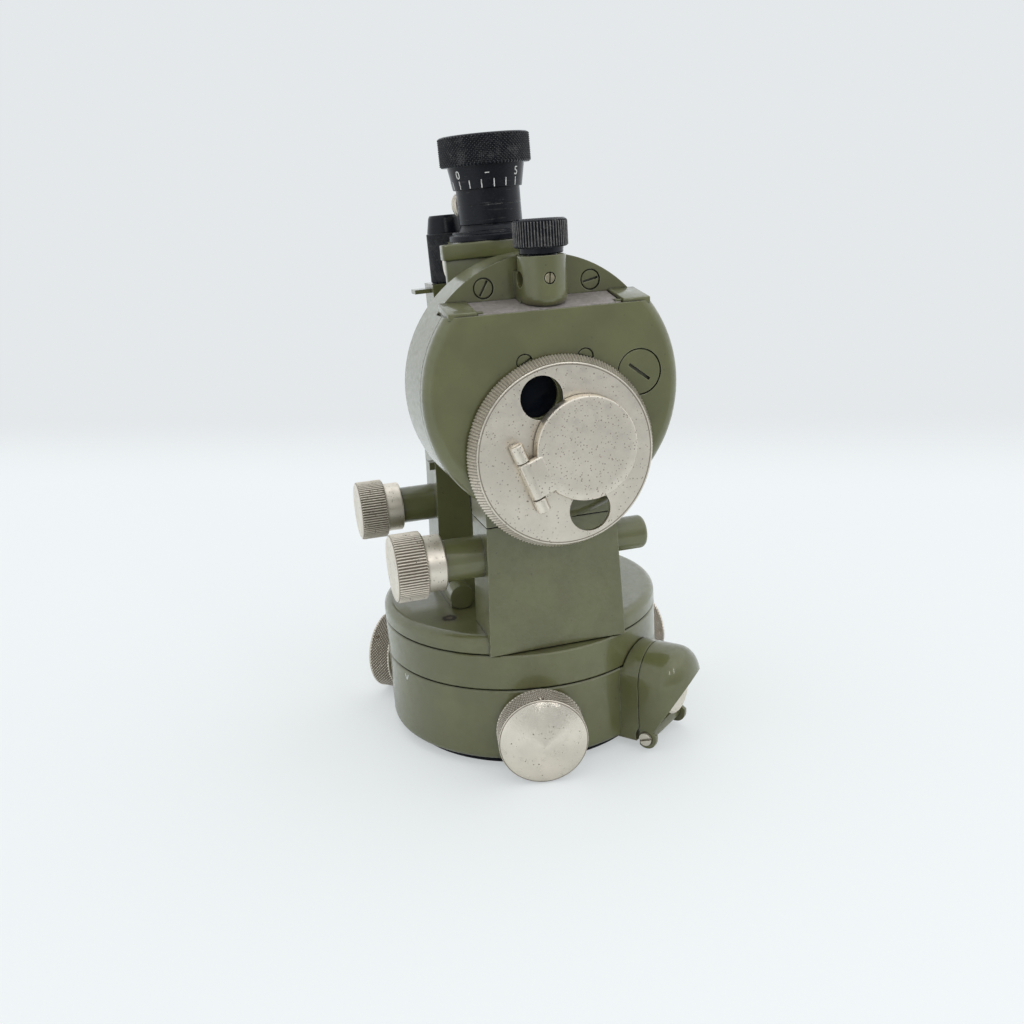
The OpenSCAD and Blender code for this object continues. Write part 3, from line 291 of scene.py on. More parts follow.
def cut_away(obj, tool):
    """Cuts one closed shape out of another, and takes the tool away."""
    pick_up(obj)
    bpy.ops.object.modifier_add(type="BOOLEAN")
    cut = obj.modifiers[-1]
    cut.operation = "DIFFERENCE"
    cut.solver = "EXACT"
    cut.object = tool
    bpy.ops.object.modifier_apply(modifier=cut.name)
    bpy.data.objects.remove(tool)
    return obj


def joined(name, *parts):
    put_down()
    for part in parts:
        part.select_set(True)
    bpy.context.view_layer.objects.active = parts[0]
    bpy.ops.object.join()
    return fresh(name)


def placed(obj, matrix):
    """Moves a piece to its place and puts the place into its mesh."""
    pick_up(obj)
    obj.matrix_world = matrix
    bpy.ops.object.transform_apply(location=True, rotation=True, scale=True)
    return obj


def bored(obj, radius, depth, matrix, chamfer=KEEN, columns=64):
    """Drills a round hole along the Z axis of a frame."""
    return cut_away(obj, placed(rod("drill", radius, depth, chamfer, columns), matrix))


def settled(obj, body, slot, finish, *nodes):
    """Gives a piece its finish and body, and hides the CAD nodes that it stands for."""
    obj.data.materials.clear()
    obj.data.materials.append(finish)
    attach(obj, body)
    if nodes:
        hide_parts(*nodes)
    return obj


# Frames of reference, with sizes in mm
def shift(x, y, z):
    return Matrix.Translation((x * MM, y * MM, z * MM))


def turn(degrees, axis):
    return Matrix.Rotation(math.radians(degrees), 4, axis)


def radial(angle):
    """X points out of the base in a direction given in degrees from the front."""
    return turn(angle - 90, "Z")


def outward(z):
    """Z points along X, at a height above the foot."""
    return shift(0, 0, z) @ turn(90, "Y")


def to_front(y, z, x=0):
    """Z points to the front, from y before the instrument's axis."""
    return shift(x, -y, z) @ turn(90, "X")


def to_left(y, z):
    """Z points to the left."""
    return shift(0, y, z) @ turn(-90, "Y")


TRUNNION_Z, TELESCOPE_LEAN = 116.5, -1.6
DISC_Z, DISC_TURN = 100.25, -20.5
BARREL_CAP_Z, BARREL_CAP_TURN = 50.6, -52
PARKED = shift(0, 0, TRUNNION_Z) @ turn(TELESCOPE_LEAN, "Y")
ON_DISC = shift(0, 0, DISC_Z) @ turn(DISC_TURN, "Y")
ON_BARREL = PARKED @ turn(BARREL_CAP_TURN, "Z") @ shift(0, 0, BARREL_CAP_Z) @ turn(-90, "Y")


# The mirror cap's hinge
HINGE_X, HINGE_Y = -12.2, -59.1
KNUCKLE_RADIUS = 1.89


def at_hinge(height):
    return ON_DISC @ shift(HINGE_X, HINGE_Y, height)


def knuckle(length, chamfer, bore):
    """A bored knuckle that stands on its end, with the hinge's pin along Z."""
    barrel = rod("knuckle", KNUCKLE_RADIUS, length, chamfer, 36)
    return bored(barrel, bore, length + 2, shift(0, 0, -1), columns=28)


# Finishes
class Wire:
    """A value on its way from one node to the next. Sums on it add Math nodes."""

    def __init__(self, finish, socket):
        self.finish = finish
        self.socket = socket

    def math(self, operation, *values):
        return self.finish.node("ShaderNodeMath", {"operation": operation}, dict(enumerate(values)))

    def __add__(self, other):
        return self.math("ADD", self, other)

    def __sub__(self, other):
        return self.math("SUBTRACT", self, other)

    def __rsub__(self, other):
        return self.math("SUBTRACT", other, self)

    def __mul__(self, other):
        return self.math("MULTIPLY", self, other)

    def __truediv__(self, other):
        return self.math("DIVIDE", self, other)

    def __rtruediv__(self, other):
        return self.math("DIVIDE", other, self)

    __radd__ = __add__
    __rmul__ = __mul__

    def at_most(self, limit):
        return self.math("MINIMUM", self, limit)

    def or_more(self, other):
        return self.math("MAXIMUM", self, other)

    def sine(self):
        return self.math("SINE", self)


def opaque(colour):
    """A colour as a socket takes it, with its alpha, or the wire that carries one."""
    return colour if isinstance(colour, Wire) else (*colour, 1.0)


class Finish:
    """The nodes of a material, or of the world, as they are built."""

    def __init__(self, owner):
        self.owner = owner
        owner.use_nodes = True
        self.tree = owner.node_tree
        self.tree.nodes.clear()

    def node(self, kind, settings=None, sockets=None, output=0):
        """Adds a node of any type, sets it, and joins values or wires to its sockets."""
        made = self.tree.nodes.new(kind)
        for key, value in (settings or {}).items():
            setattr(made, key, value)
        for key, value in (sockets or {}).items():
            if isinstance(value, Wire):
                self.tree.links.new(value.socket, made.inputs[key])
            else:
                made.inputs[key].default_value = value
        if len(made.outputs):
            return Wire(self, made.outputs[output])
        return None

    def vectors(self, operation, *values, output="Value"):
        """A Vector Math node."""
        return self.node("ShaderNodeVectorMath", {"operation": operation}, dict(enumerate(values)), output)

    def place(self):
        return self.node("ShaderNodeTexCoord", output="Object")

    def mapped(self, matrix):
        """Object coordinates seen from a piece's own frame, for patterns round its axis."""
        back = matrix.inverted()
        return self.node("ShaderNodeMapping", sockets={
            "Vector": self.place(), "Location": back.translation, "Rotation": back.to_euler()})

    def stretched(self, vector, *scale):
        return self.node("ShaderNodeMapping", sockets={"Vector": vector, "Scale": scale})

    def from_axis(self, matrix, slope=0.0):
        """Distance from a frame's Z axis in mm. Slope makes up for a rim that narrows along the axis."""
        along = self.mapped(matrix)
        height = self.node("ShaderNodeSeparateXYZ", sockets={"Vector": along}, output="Z")
        flat = self.vectors("MULTIPLY", along, (1, 1, 0), output="Vector")
        return self.vectors("LENGTH", flat) / MM + height * (slope / MM)

    def crevices(self, size):
        """Where surfaces within size, in mm, shut the light out: 1 deep in a groove, 0 in the open."""
        shut = self.node("ShaderNodeAmbientOcclusion", {"samples": 4}, {"Distance": size * MM}, output="AO")
        return self.ramp(shut, 0.42, 0.92, 1.0, 0.0)

    def noise(self, size, detail=3.0, rough=0.55, place=None):
        """Noise whose grains are about as large as size, in mm."""
        return self.node("ShaderNodeTexNoise", sockets={
            "Vector": place or self.place(), "Scale": 1 / (size * MM), "Detail": detail, "Roughness": rough})

    def cells(self, size):
        """Distance from the nearest of many scattered points, about size apart in mm."""
        return self.node("ShaderNodeTexVoronoi", sockets={
            "Vector": self.place(), "Scale": 1 / (size * MM)}, output="Distance")

    def ramp(self, value, low, high, start=0.0, end=1.0):
        """A value taken smoothly from low and high to start and end."""
        return self.node("ShaderNodeMapRange", {"interpolation_type": "SMOOTHSTEP"}, {
            "Value": value, "From Min": low, "From Max": high, "To Min": start, "To Max": end})

    def blend(self, share, first, second):
        """A colour between two colours."""
        return self.node("ShaderNodeMix", {"data_type": "RGBA"},
                         {0: share, 6: opaque(first), 7: opaque(second)}, output=2)

    def mixed(self, share, first, second):
        """A shader between two shaders."""
        return self.node("ShaderNodeMixShader", sockets={0: share, 1: first, 2: second})

    def ray(self, kind):
        """1 for a ray of this kind, 0 for any other."""
        return self.node("ShaderNodeLightPath", output=f"Is {kind} Ray")

    def rounded(self, width):
        """The normal with edges rounded over a width in mm."""
        return self.node("ShaderNodeBevel", {"samples": 6}, {"Radius": width * MM})

    def edges(self, rounded, low, high):
        """How far the rounded normal leaves the face's own: 1 on an edge, 0 on a flat."""
        flat = self.node("ShaderNodeNewGeometry", output="Normal")
        return self.ramp(1 - self.vectors("DOT_PRODUCT", rounded, flat), low, high)

    def bump(self, height, depth, strength=1.0, normal=None):
        """A bumped normal. Depth is in mm."""
        sockets = {"Height": height, "Distance": depth * MM, "Strength": strength}
        if normal:
            sockets["Normal"] = normal
        return self.node("ShaderNodeBump", sockets=sockets)

    def shaded(self, **sockets):
        """Ends the material with its shader. An underline in a socket's name stands for a space."""
        values = {key.replace("_", " "): value for key, value in sockets.items()}
        values["Base Color"] = opaque(values["Base Color"])
        shader = self.node("ShaderNodeBsdfPrincipled", sockets=values)
        self.node("ShaderNodeOutputMaterial", sockets={"Surface": shader})
        return self.owner


def made_once(name, maker, **settings):
    """The material of this name, made the first time that it is asked for."""
    known = bpy.data.materials.get(name)
    return known or maker(Finish(bpy.data.materials.new(name)), **settings)


def finishes():
    return bpy.context.scene.theodolite_finishes


# Tints that age lays over a finish, and the colours of painted shade
GREASY_FILM = (0.098, 0.086, 0.045)
BROWN_STAIN_AND_SHADE = (0.065, 0.05, 0.028)
DARK_SPECK = (0.05, 0.04, 0.022)
# Brown of the stain, laid partly as painted shade near neighbouring parts
CORNER_SHADE = (0.012, 0.012, 0.008)
RUST_HALO = (0.05, 0.036, 0.02)
# Near black of the painted shade in every corner and seam
RUST_RING = (0.016, 0.011, 0.007)
SCRAPED_METAL = (0.13, 0.11, 0.07)
GREY_BLOOM = (0.06, 0.062, 0.068)
# Distance between the marks of the lathe's tool, in mm
TURNING_PITCH = 0.13


def enamel_of(finish, rubbed=0.62, chip=None):
    """Glossy stove enamel: mottled, rubbed pale on its edges, with painted shade in each corner and seam,
    and a brown stain that is also painted shade near other parts.

    Rubbed is how pale the edges are. Chip is the place of a scraped, rusty patch.
    """
    colours = finishes()
    rounded = finish.rounded(colours.edge / MM)
    broad = finish.noise(14, 4)
    fine = finish.noise(0.8, 2)
    grime = finish.noise(5, 5, 0.65)
    scuffs = finish.noise(1.3, 4, 0.7)
    edge = finish.edges(rounded, 0.03, 0.22) * finish.ramp(finish.noise(3.2, 4, 0.7), 0.34, 0.58)
    specks = finish.ramp(finish.cells(2.1), 0.08, 0.14, 1, 0) * finish.ramp(grime, 0.52, 0.62)
    # Painted shade: an occlusion mask darkens every corner and seam
    corner_shade = finish.crevices(0.65)
    # Brown stain spread by a wide occlusion mask and noise: partly stain, partly painted shade near
    # neighbouring parts
    stains_and_shade = finish.crevices(6) * finish.ramp(grime, 0.38, 0.6)
    base = Vector(colours.enamel)
    colour = finish.blend(finish.ramp(broad, 0.35, 0.65), base * 0.92, base * 1.09)
    colour = finish.blend(finish.ramp(grime, 0.52, 0.75) * 0.3, colour, GREASY_FILM)
    # Stain that is also painted shade where other parts are near
    colour = finish.blend(stains_and_shade * 0.5, colour, BROWN_STAIN_AND_SHADE)
    colour = finish.blend(specks * 0.6, colour, DARK_SPECK)
    colour = finish.blend(edge * rubbed, colour, colours.worn_enamel)
    rough = finish.ramp(scuffs, 0.3, 0.7, 0.32, 0.44) + edge * 0.1
    coat = finish.ramp(scuffs, 0.35, 0.75, 0.85, 0.5)
    if chip is not None:
        away = finish.vectors("DISTANCE", finish.place(), chip) / MM
        away = away + (finish.noise(1.4, 4, 0.7) - 0.5) * 2.4
        bare = finish.ramp(away, 2.0, 2.8, 1, 0)
        colour = finish.blend(finish.ramp(away, 2.0, 6.0, 0.5, 0), colour, RUST_HALO)
        colour = finish.blend(finish.ramp(away, 2.0, 2.4, 0.95, 0), colour, RUST_RING)
        colour = finish.blend(finish.ramp(away, 0.8, 1.2, 0.7, 0), colour, SCRAPED_METAL)
        rough = rough + bare * 0.5
        coat = coat * (1 - bare)
    # Painted shade in every corner and seam, towards near black
    colour = finish.blend(corner_shade * 0.85, colour, CORNER_SHADE)
    normal = finish.bump(fine * 0.5 + broad * 0.5, 0.016, 0.6, rounded)
    return finish.shaded(Base_Color=colour, Roughness=rough, Normal=normal, Coat_Roughness=0.1,
                         Specular_IOR_Level=0.42, Coat_Weight=coat)


def nickel_of(finish, rings=None, grooves=None, specks=0.35):
    """Satin nickel plate with tarnish, many fine dark pits, brown grime in its grooves and painted shade in
    its crevices.

    Rings is the frame of a face turned on a lathe. Grooves is a knurl's frame, the radii of its valleys
    and ridges, and its slope. Specks is how many of the finest pits show.
    """
    colours = finishes()
    rounded = finish.rounded(0.2)
    broad = finish.noise(9, 3)
    cloud = finish.noise(2.2, 4, 0.65)
    fine = finish.noise(0.5, 2)
    patches = finish.noise(2.6, 3, 0.7)
    small = finish.ramp(finish.cells(0.9), 0.15, 0.29, 1, 0) * finish.ramp(
        patches, 0.62 - specks * 0.3, 0.72 - specks * 0.3)
    large = finish.ramp(finish.cells(2.7), 0.06, 0.1, 1, 0) * finish.ramp(broad, 0.4, 0.52)
    pits = (small * 0.85 + large).at_most(1.0)
    # Painted shade: an occlusion mask darkens the crevices; the knurl's grooves below add real brown grime
    dirt_and_shade = finish.crevices(0.7) * 0.8
    if grooves:
        matrix, valley, ridge, slope = grooves
        reach = finish.from_axis(matrix, slope)
        ring = finish.ramp(reach, valley - 0.06, valley) * finish.ramp(reach, valley + 0.06, ridge, 1, 0)
        deep = ring * finish.ramp(finish.noise(2.4, 4, 0.7), 0.25, 0.5, 0.75, 1.0)
        dirt_and_shade = dirt_and_shade.or_more(deep * 0.9)
    base = Vector(colours.nickel)
    colour = finish.blend(finish.ramp(broad, 0.35, 0.65), base * 0.95, base * 1.05)
    colour = finish.blend(finish.ramp(cloud, 0.5, 0.72) * 0.3, colour, base * 0.74)
    colour = finish.blend(pits * 0.85, colour, colours.tarnish)
    edge = finish.edges(rounded, 0.05, 0.3)
    colour = finish.blend(edge * 0.4, colour, base * 1.2)
    # Painted shade of the crevices and the grime of the grooves, in the tarnish colour
    colour = finish.blend(dirt_and_shade, colour, colours.tarnish)
    rough = finish.ramp(cloud, 0.3, 0.7, 0.34, 0.48) + pits * 0.25
    height = cloud * 0.25 + fine * 0.25 - pits
    depth = 0.02
    if rings is not None:
        wave = finish.from_axis(rings) * (2 * math.pi / TURNING_PITCH)
        height = height * 0.3 + wave.sine() * 0.5
        depth = 0.012
        rough = finish.ramp(cloud, 0.3, 0.7, 0.2, 0.28) + pits * 0.3
    normal = finish.bump(height, depth, 0.8, rounded)
    # Pits, groove grime and painted shade also dull the metal
    return finish.shaded(Base_Color=colour, Roughness=rough, Normal=normal,
                         Metallic=1.0 - (pits + dirt_and_shade).at_most(1.0) * 0.75)


def black_of(finish, bared=1.0, tips=None, lines=None):
    """Satin blue-black anodising, rubbed grey and silvery on its edges and on the tips of its knurl.

    Tips is a knurl's frame, the radius of its points, its depth and how strongly the points are rubbed.
    Lines is the frame of a turned barrel, which shows faint scratches round it.
    """
    colours = finishes()
    rounded = finish.rounded(0.3)
    patch = finish.noise(3.5, 4, 0.7)
    dust = finish.noise(0.7, 3)
    rubbed = finish.edges(rounded, 0.05, 0.3) * finish.ramp(patch, 0.46, 0.64) * bared
    if tips:
        matrix, radius, depth, strength = tips
        high = finish.ramp(finish.from_axis(matrix), radius - depth * 0.45, radius - 0.02)
        worn = high * finish.ramp(finish.noise(0.9, 4, 0.8), 0.4, 0.7, 0.35, 1.0) * strength
        rubbed = rubbed.or_more(worn)
    if lines is not None:
        along = finish.stretched(finish.mapped(lines), 0.05, 0.05, 1.0)
        scratch = finish.ramp(finish.noise(0.32, 2, 0.6, along), 0.62, 0.72)
        rubbed = rubbed.or_more(scratch * finish.ramp(patch, 0.42, 0.6) * 0.13)
    base = Vector(colours.black)
    colour = finish.blend(finish.ramp(dust, 0.4, 0.8), base, base * 1.7)
    colour = finish.blend(finish.ramp(patch, 0.6, 0.85) * 0.12, colour, GREY_BLOOM)
    colour = finish.blend(rubbed, colour, colours.bared)
    rough = finish.ramp(patch, 0.3, 0.7, 0.22, 0.32) + rubbed * 0.15
    normal = finish.bump(dust, 0.006, 0.5, rounded)
    return finish.shaded(Base_Color=colour, Roughness=rough, Metallic=rubbed * 0.9, Normal=normal,
                         Specular_IOR_Level=0.22)


def plain_metal_of(finish, colour, rough):
    """Turned bronze, brass or ground steel, with stains and fine grain."""
    grain = finish.noise(0.4, 3)
    stain = finish.noise(4, 4, 0.6)
    base = Vector(colour)
    tone = finish.blend(finish.ramp(stain, 0.4, 0.7), base, base * 0.72)
    return finish.shaded(Base_Color=tone, Metallic=1.0,
                         Roughness=finish.ramp(grain, 0.3, 0.7, rough, rough + 0.12),
                         Normal=finish.bump(grain, 0.008, 0.5, finish.rounded(0.2)))


def clear_glass_of(finish):
    """Lens and vial glass, a little smeared."""
    smear = finish.noise(5, 3)
    return finish.shaded(Base_Color=(0.93, 0.97, 0.97), Roughness=finish.ramp(smear, 0.4, 0.8, 0.02, 0.09),
                         Transmission_Weight=1.0, IOR=1.5)


def dark_glass_of(finish):
    """Deep blue-black glass behind the holes of the disc."""
    smear = finish.noise(4, 3)
    tone = finish.blend(finish.ramp(smear, 0.35, 0.7), (0.003, 0.004, 0.006), (0.006, 0.008, 0.012))
    return finish.shaded(Base_Color=tone, Roughness=finish.ramp(smear, 0.4, 0.8, 0.06, 0.16),
                         Specular_IOR_Level=0.04)


def frosted_strip_of(finish):
    """The ground, dusty strip over the level, with a pinkish brown tint."""
    dust = finish.noise(0.9, 5, 0.7)
    broad = finish.noise(7, 3)
    tone = finish.blend(finish.ramp(dust, 0.35, 0.7), (0.2, 0.18, 0.165), (0.33, 0.295, 0.28))
    tone = finish.blend(finish.ramp(broad, 0.45, 0.7) * 0.4, tone, (0.14, 0.122, 0.10))
    return finish.shaded(Base_Color=tone, Roughness=finish.ramp(dust, 0.3, 0.7, 0.4, 0.6),
                         Normal=finish.bump(dust, 0.03, 0.6))


def mirror_of(finish):
    """Silvered glass with a faint bloom."""
    smear = finish.noise(6, 4)
    return finish.shaded(Base_Color=(0.86, 0.87, 0.87), Metallic=1.0,
                         Roughness=finish.ramp(smear, 0.4, 0.8, 0.03, 0.12))


def mark_paint_of(finish):
    """White paint wiped into engraved marks, a little patchy."""
    patch = finish.noise(0.4, 3)
    tone = finish.blend(finish.ramp(patch, 0.35, 0.6), (0.42, 0.42, 0.4), (0.78, 0.78, 0.75))
    return finish.shaded(Base_Color=tone, Roughness=finish.ramp(patch, 0.3, 0.7, 0.5, 0.65))


SLOT_FINISHES = {
    "olive_enamel": ("olive_enamel_finish", enamel_of, {}),
    "nickel_plate": ("nickel_finish", nickel_of, {}),
    "black_anodised": ("black_finish", black_of, {}),
    "black_enamel": ("black_enamel_finish", black_of, {"bared": 0.5}),
    "bronze": ("bronze_finish", plain_metal_of, {"colour": (0.62, 0.46, 0.24), "rough": 0.3}),
    "steel": ("steel_finish", plain_metal_of, {"colour": (0.58, 0.57, 0.55), "rough": 0.25}),
    "glass": ("clear_glass", clear_glass_of, {}),
    "dark_glass": ("blue_black_glass", dark_glass_of, {}),
    "mirror": ("mirror_glass", mirror_of, {}),
}


def plain(slot):
    """The finish that all plain pieces of a material slot share."""
    name, maker, settings = SLOT_FINISHES[slot]
    return made_once(name, maker, **settings)


def coat(node, finish):
    """Gives a CAD node one finish all over."""
    for place in node.material_slots:
        place.material = finish


def dress(*slots):
    """Gives every CAD node of these material slots its finish."""
    for row in frame["record"]["subparts"]:
        if row["material_slot"] in slots:
            coat(frame["nodes"][row["node"]], plain(row["material_slot"]))


# Operators, one for each piece or group of like pieces
class THEODOLITE_OT_castings(bpy.types.Operator):
    """Gives the enamelled castings their olive finish, and the round plate a chip in it"""

    bl_idname = "theodolite.castings"
    bl_label = "Enamelled castings"

    def execute(self, context):
        dress("olive_enamel")
        # A scraped patch on the round plate, left of the front standard
        plate = frame["nodes"]["alidade_plate"]
        chip = plate.matrix_world.inverted() @ (Vector((-28.4, -19.75, 43.9)) * MM)
        coat(plate, made_once("chipped_enamel", enamel_of, chip=chip))
        return {"FINISHED"}


class THEODOLITE_OT_bare_metal(bpy.types.Operator):
    """Gives the turned, plated and blackened metal its finishes"""

    bl_idname = "theodolite.bare_metal"
    bl_label = "Bare and black metal"

    def execute(self, context):
        dress("nickel_plate", "black_anodised", "black_enamel", "bronze", "steel")
        return {"FINISHED"}


class THEODOLITE_OT_optics(bpy.types.Operator):
    """Gives the lenses, vials, windows and mirror their finishes"""

    bl_idname = "theodolite.optics"
    bl_label = "Optics"

    def execute(self, context):
        dress("glass", "dark_glass", "mirror")
        return {"FINISHED"}


class THEODOLITE_OT_levelling_knobs(bpy.types.Operator):
    """Builds the three levelling knobs, knurled round the rim, with a turned cone on the face"""

    bl_idname = "theodolite.levelling_knobs"
    bl_label = "Levelling knobs"

    def execute(self, context):
        grips = context.scene.theodolite_knurls
        radius, back, face, dome, axis_z = 13.398, 45.4, 54.2, 3.38, 13.8
        stem, stem_end = 3, 25.25
        columns, depth, rows = 2 * grips.diamonds, grips.diamond_depth / MM, 14
        low, high = back + 0.7, face - 0.5
        profile = [(0, stem_end), (stem - 0.3, stem_end), (stem, stem_end + 0.3), (stem, back),
                   (radius - 0.9, back), (radius - 0.35, back + 0.25)]
        profile += band(radius, low, high, rows)
        profile += [(radius - 0.3, face - 0.2), (radius - 0.75, face)]
        steps, swell = 14, 1.15
        for k in range(1, steps + 1):
            share = 1 - k / steps
            profile.append(((radius - 0.5) * share, face + dome * (1 - share ** swell)))
        knob = turned("levelling_knob", profile, columns)
        diamond_knurl(knob, radius, low + 0.1, high - 0.1, rows, columns, depth)
        bored(knob, 0.8, 5, shift(-radius + 3, 0, face - 2.6) @ turn(-90, "Y"), 0.25, 24)
        first_angle = -10.8
        for i, turned_by in enumerate((0, 85, -48)):
            pick_up(knob)
            bpy.ops.object.duplicate()
            copy = fresh(f"levelling_knob_{i + 1}")
            stand = radial(first_angle + 120 * i) @ outward(axis_z) @ turn(turned_by, "Z")
            placed(copy, stand)
            finish = made_once(f"nickel_turned_{i + 1}", nickel_of, rings=stand, specks=0.3,
                               grooves=(stand, radius - depth, radius - 0.02, 0))
            settled(copy, f"level_{i + 1}", "nickel_plate", finish, f"level_knob_{i + 1}")
        bpy.data.objects.remove(knob)
        return {"FINISHED"}


class THEODOLITE_OT_tangent_knobs(bpy.types.Operator):
    """Builds the two tangent knobs: straight ridges, a plain collar and a small set screw in its hole"""

    bl_idname = "theodolite.tangent_knobs"
    bl_label = "Tangent knobs"

    def execute(self, context):
        grips = context.scene.theodolite_knurls
        radius, collar, back, step, face, axis_z = 10.0, 8.3, 31.9, 37.5, 46.8, 67.3
        stem, stem_end, screw_at = 2.5, 10.8, face - 4.2
        low, high = step + 0.5, face - 0.7
        columns, depth = 4 * grips.tangent_ridges, grips.tangent_depth / MM
        profile = [(0, stem_end), (stem - 0.3, stem_end), (stem, stem_end + 0.3), (stem, back),
                   (collar - 0.4, back), (collar, back + 0.4), (collar, step), (radius - 0.75, step)]
        profile += band(radius, low, high, 6)
        profile += [(radius - 0.2, face - 0.35), (radius - 0.8, face), (radius - 2.2, face - 0.05),
                    (0, face - 0.05)]
        for name, y, hole_at in (("front", -33, 150), ("rear", 33, 175)):
            knob = turned(f"{name}_tangent_grip", profile, columns)
            ridge_knurl(knob, radius, low, high, columns, depth)
            seat = turn(hole_at, "Z") @ shift(radius - 1.3, 0, screw_at) @ turn(90, "Y")
            bored(knob, 0.85, 3, seat, 0.25, 24)
            screw = placed(rod("set_screw", 0.74, 0.7, 0.1, 24), seat)
            slot = block("slot", (0.26, 2.2, 0.6), edge=CRISP, segments=1)
            across = turn(hole_at, "Z") @ shift(radius - 0.55, 0, screw_at) @ turn(90, "Y") @ turn(35, "Z")
            cut_away(screw, placed(slot, across))
            knob = joined(f"{name}_tangent_grip", knob, screw)
            stand = to_left(y, axis_z)
            placed(knob, stand)
            finish = made_once(f"nickel_{name}_knob", nickel_of, specks=0.5,
                               grooves=(stand, radius - depth, radius - 0.05, 0))
            settled(knob, f"{name}_tangent", "nickel_plate", finish, f"{name}_tangent_knob")
        return {"FINISHED"}


class THEODOLITE_OT_prism_knob(bpy.types.Operator):
    """Builds the black prism knob on its neck, with straight ridges rubbed bright on their tips"""

    bl_idname = "theodolite.prism_knob"
    bl_label = "Prism knob"

    def execute(self, context):
        grips = context.scene.theodolite_knurls
        radius, neck, bottom, top, axis_y = 7.4, 153.0, 154.7, 162.1, -44
        foot, foot_z, collar, depth = 4.15, 148.5, 6, 0.42
        low, high = bottom + 0.4, top - 0.9
        columns = 4 * grips.prism_ridges
        profile = [(0, foot_z), (foot, foot_z), (foot, neck), (collar - 0.3, neck), (collar, neck + 0.3),
                   (collar, bottom), (radius - 0.6, bottom)]
        profile += band(radius, low, high, 5)
        profile += [(radius - 0.3, top - 0.4), (radius - 0.95, top), (radius - 2.0, top),
                    (radius - 2.6, top - 0.35), (0, top - 0.3)]
        knob = turned("prism_grip", profile, columns)
        ridge_knurl(knob, radius, low, high, columns, depth)
        stand = shift(0, axis_y, 0)
        placed(knob, stand)
        finish = made_once("black_worn_grip", black_of, tips=(stand, radius, depth, 0.5))
        settled(knob, "prism", "black_anodised", finish, "prism_knob")
        return {"FINISHED"}


class THEODOLITE_OT_eyepiece(bpy.types.Operator):
    """Builds the knurled eyepiece ring, with the cone below it that carries the focus scale"""

    bl_idname = "theodolite.eyepiece"
    bl_label = "Eyepiece ring and scale"

    cone_foot = (10.4, 54.85)
    cone_head = (11.5, 60.8)

    def execute(self, context):
        grips = context.scene.theodolite_knurls
        radius, low, high, rows = 13.8, 61.9, 69.2, 14
        columns, depth = 2 * grips.diamonds, grips.diamond_depth / MM
        bore, bottom, shoulder, top, eye, seat = 9.7, 54.7, 61.3, 69.9, 5.4, 66.0
        profile = [(bore, bottom), (10.25, bottom), self.cone_foot, self.cone_head,
                   (self.cone_head[0], shoulder), (radius - 0.7, shoulder)]
        profile += band(radius, low, high, rows)
        profile += [(radius - 0.2, 69.55), (radius - 0.75, top), (11.4, top), (9.4, 69.25), (5.6, 67.5),
                    (eye, 67.2), (eye, seat), (bore, seat), (bore, bottom)]
        ring = turned("eyepiece_grip", profile, columns)
        diamond_knurl(ring, radius, low, high, rows, columns, depth)
        placed(ring, PARKED)
        finish = made_once("black_eyepiece", black_of, bared=0.35, tips=(PARKED, radius, depth, 0.4),
                           lines=PARKED)
        settled(ring, "eye_ring", "black_anodised", finish, "eyepiece_ring")
        self.mark_scale()
        return {"FINISHED"}

    def mark_scale(self):
        """Ticks round the cone, with a number over the middle one and over each end."""
        zero, pitch, each_way = -154, 20, 5
        tick_z, number_z, dash_z = 56.1, 58.85, 59.0
        marks = []
        for i in range(-each_way, each_way + 1):
            tick = block("tick", (0.12, 0.3, 2.3), edge=CRISP, segments=1)
            marks.append(placed(tick, self.on_scale(zero + pitch * i, tick_z)))
        for sign, steps in (("0", 0), ("5", each_way), ("5", -each_way)):
            marks.append(self.numeral(sign, self.on_scale(zero + pitch * steps, number_z)))
        dash = block("dash", (0.12, 1.3, 0.28), edge=CRISP, segments=1)
        marks.append(placed(dash, self.on_scale(zero + each_way / 2 * pitch, dash_z)))
        scale = joined("focus_scale_marks", *marks)
        settled(scale, "eye_ring", "black_anodised", made_once("mark_paint", mark_paint_of))

    def on_scale(self, angle, height):
        """The frame on the cone at an angle: X outwards, Z up the slope."""
        (foot, low), (head, high) = self.cone_foot, self.cone_head
        radius = foot + (height - low) * (head - foot) / (high - low)
        return PARKED @ turn(angle, "Z") @ shift(radius, 0, height) @ turn(10.5, "Y")

    def numeral(self, sign, matrix):
        put_down()
        bpy.ops.object.text_add()
        words = bpy.context.active_object
        words.data.body = sign
        words.data.align_x = "CENTER"
        words.data.align_y = "CENTER"
        words.data.size = 3.4 * MM
        words.data.extrude = 0.06 * MM
        bpy.ops.object.convert(target="MESH")
        upright = Matrix(((0, 0, 1, 0), (1, 0, 0, 0), (0, 1, 0, 0), (0, 0, 0, 1)))
        return placed(fresh("numeral"), matrix @ upright)


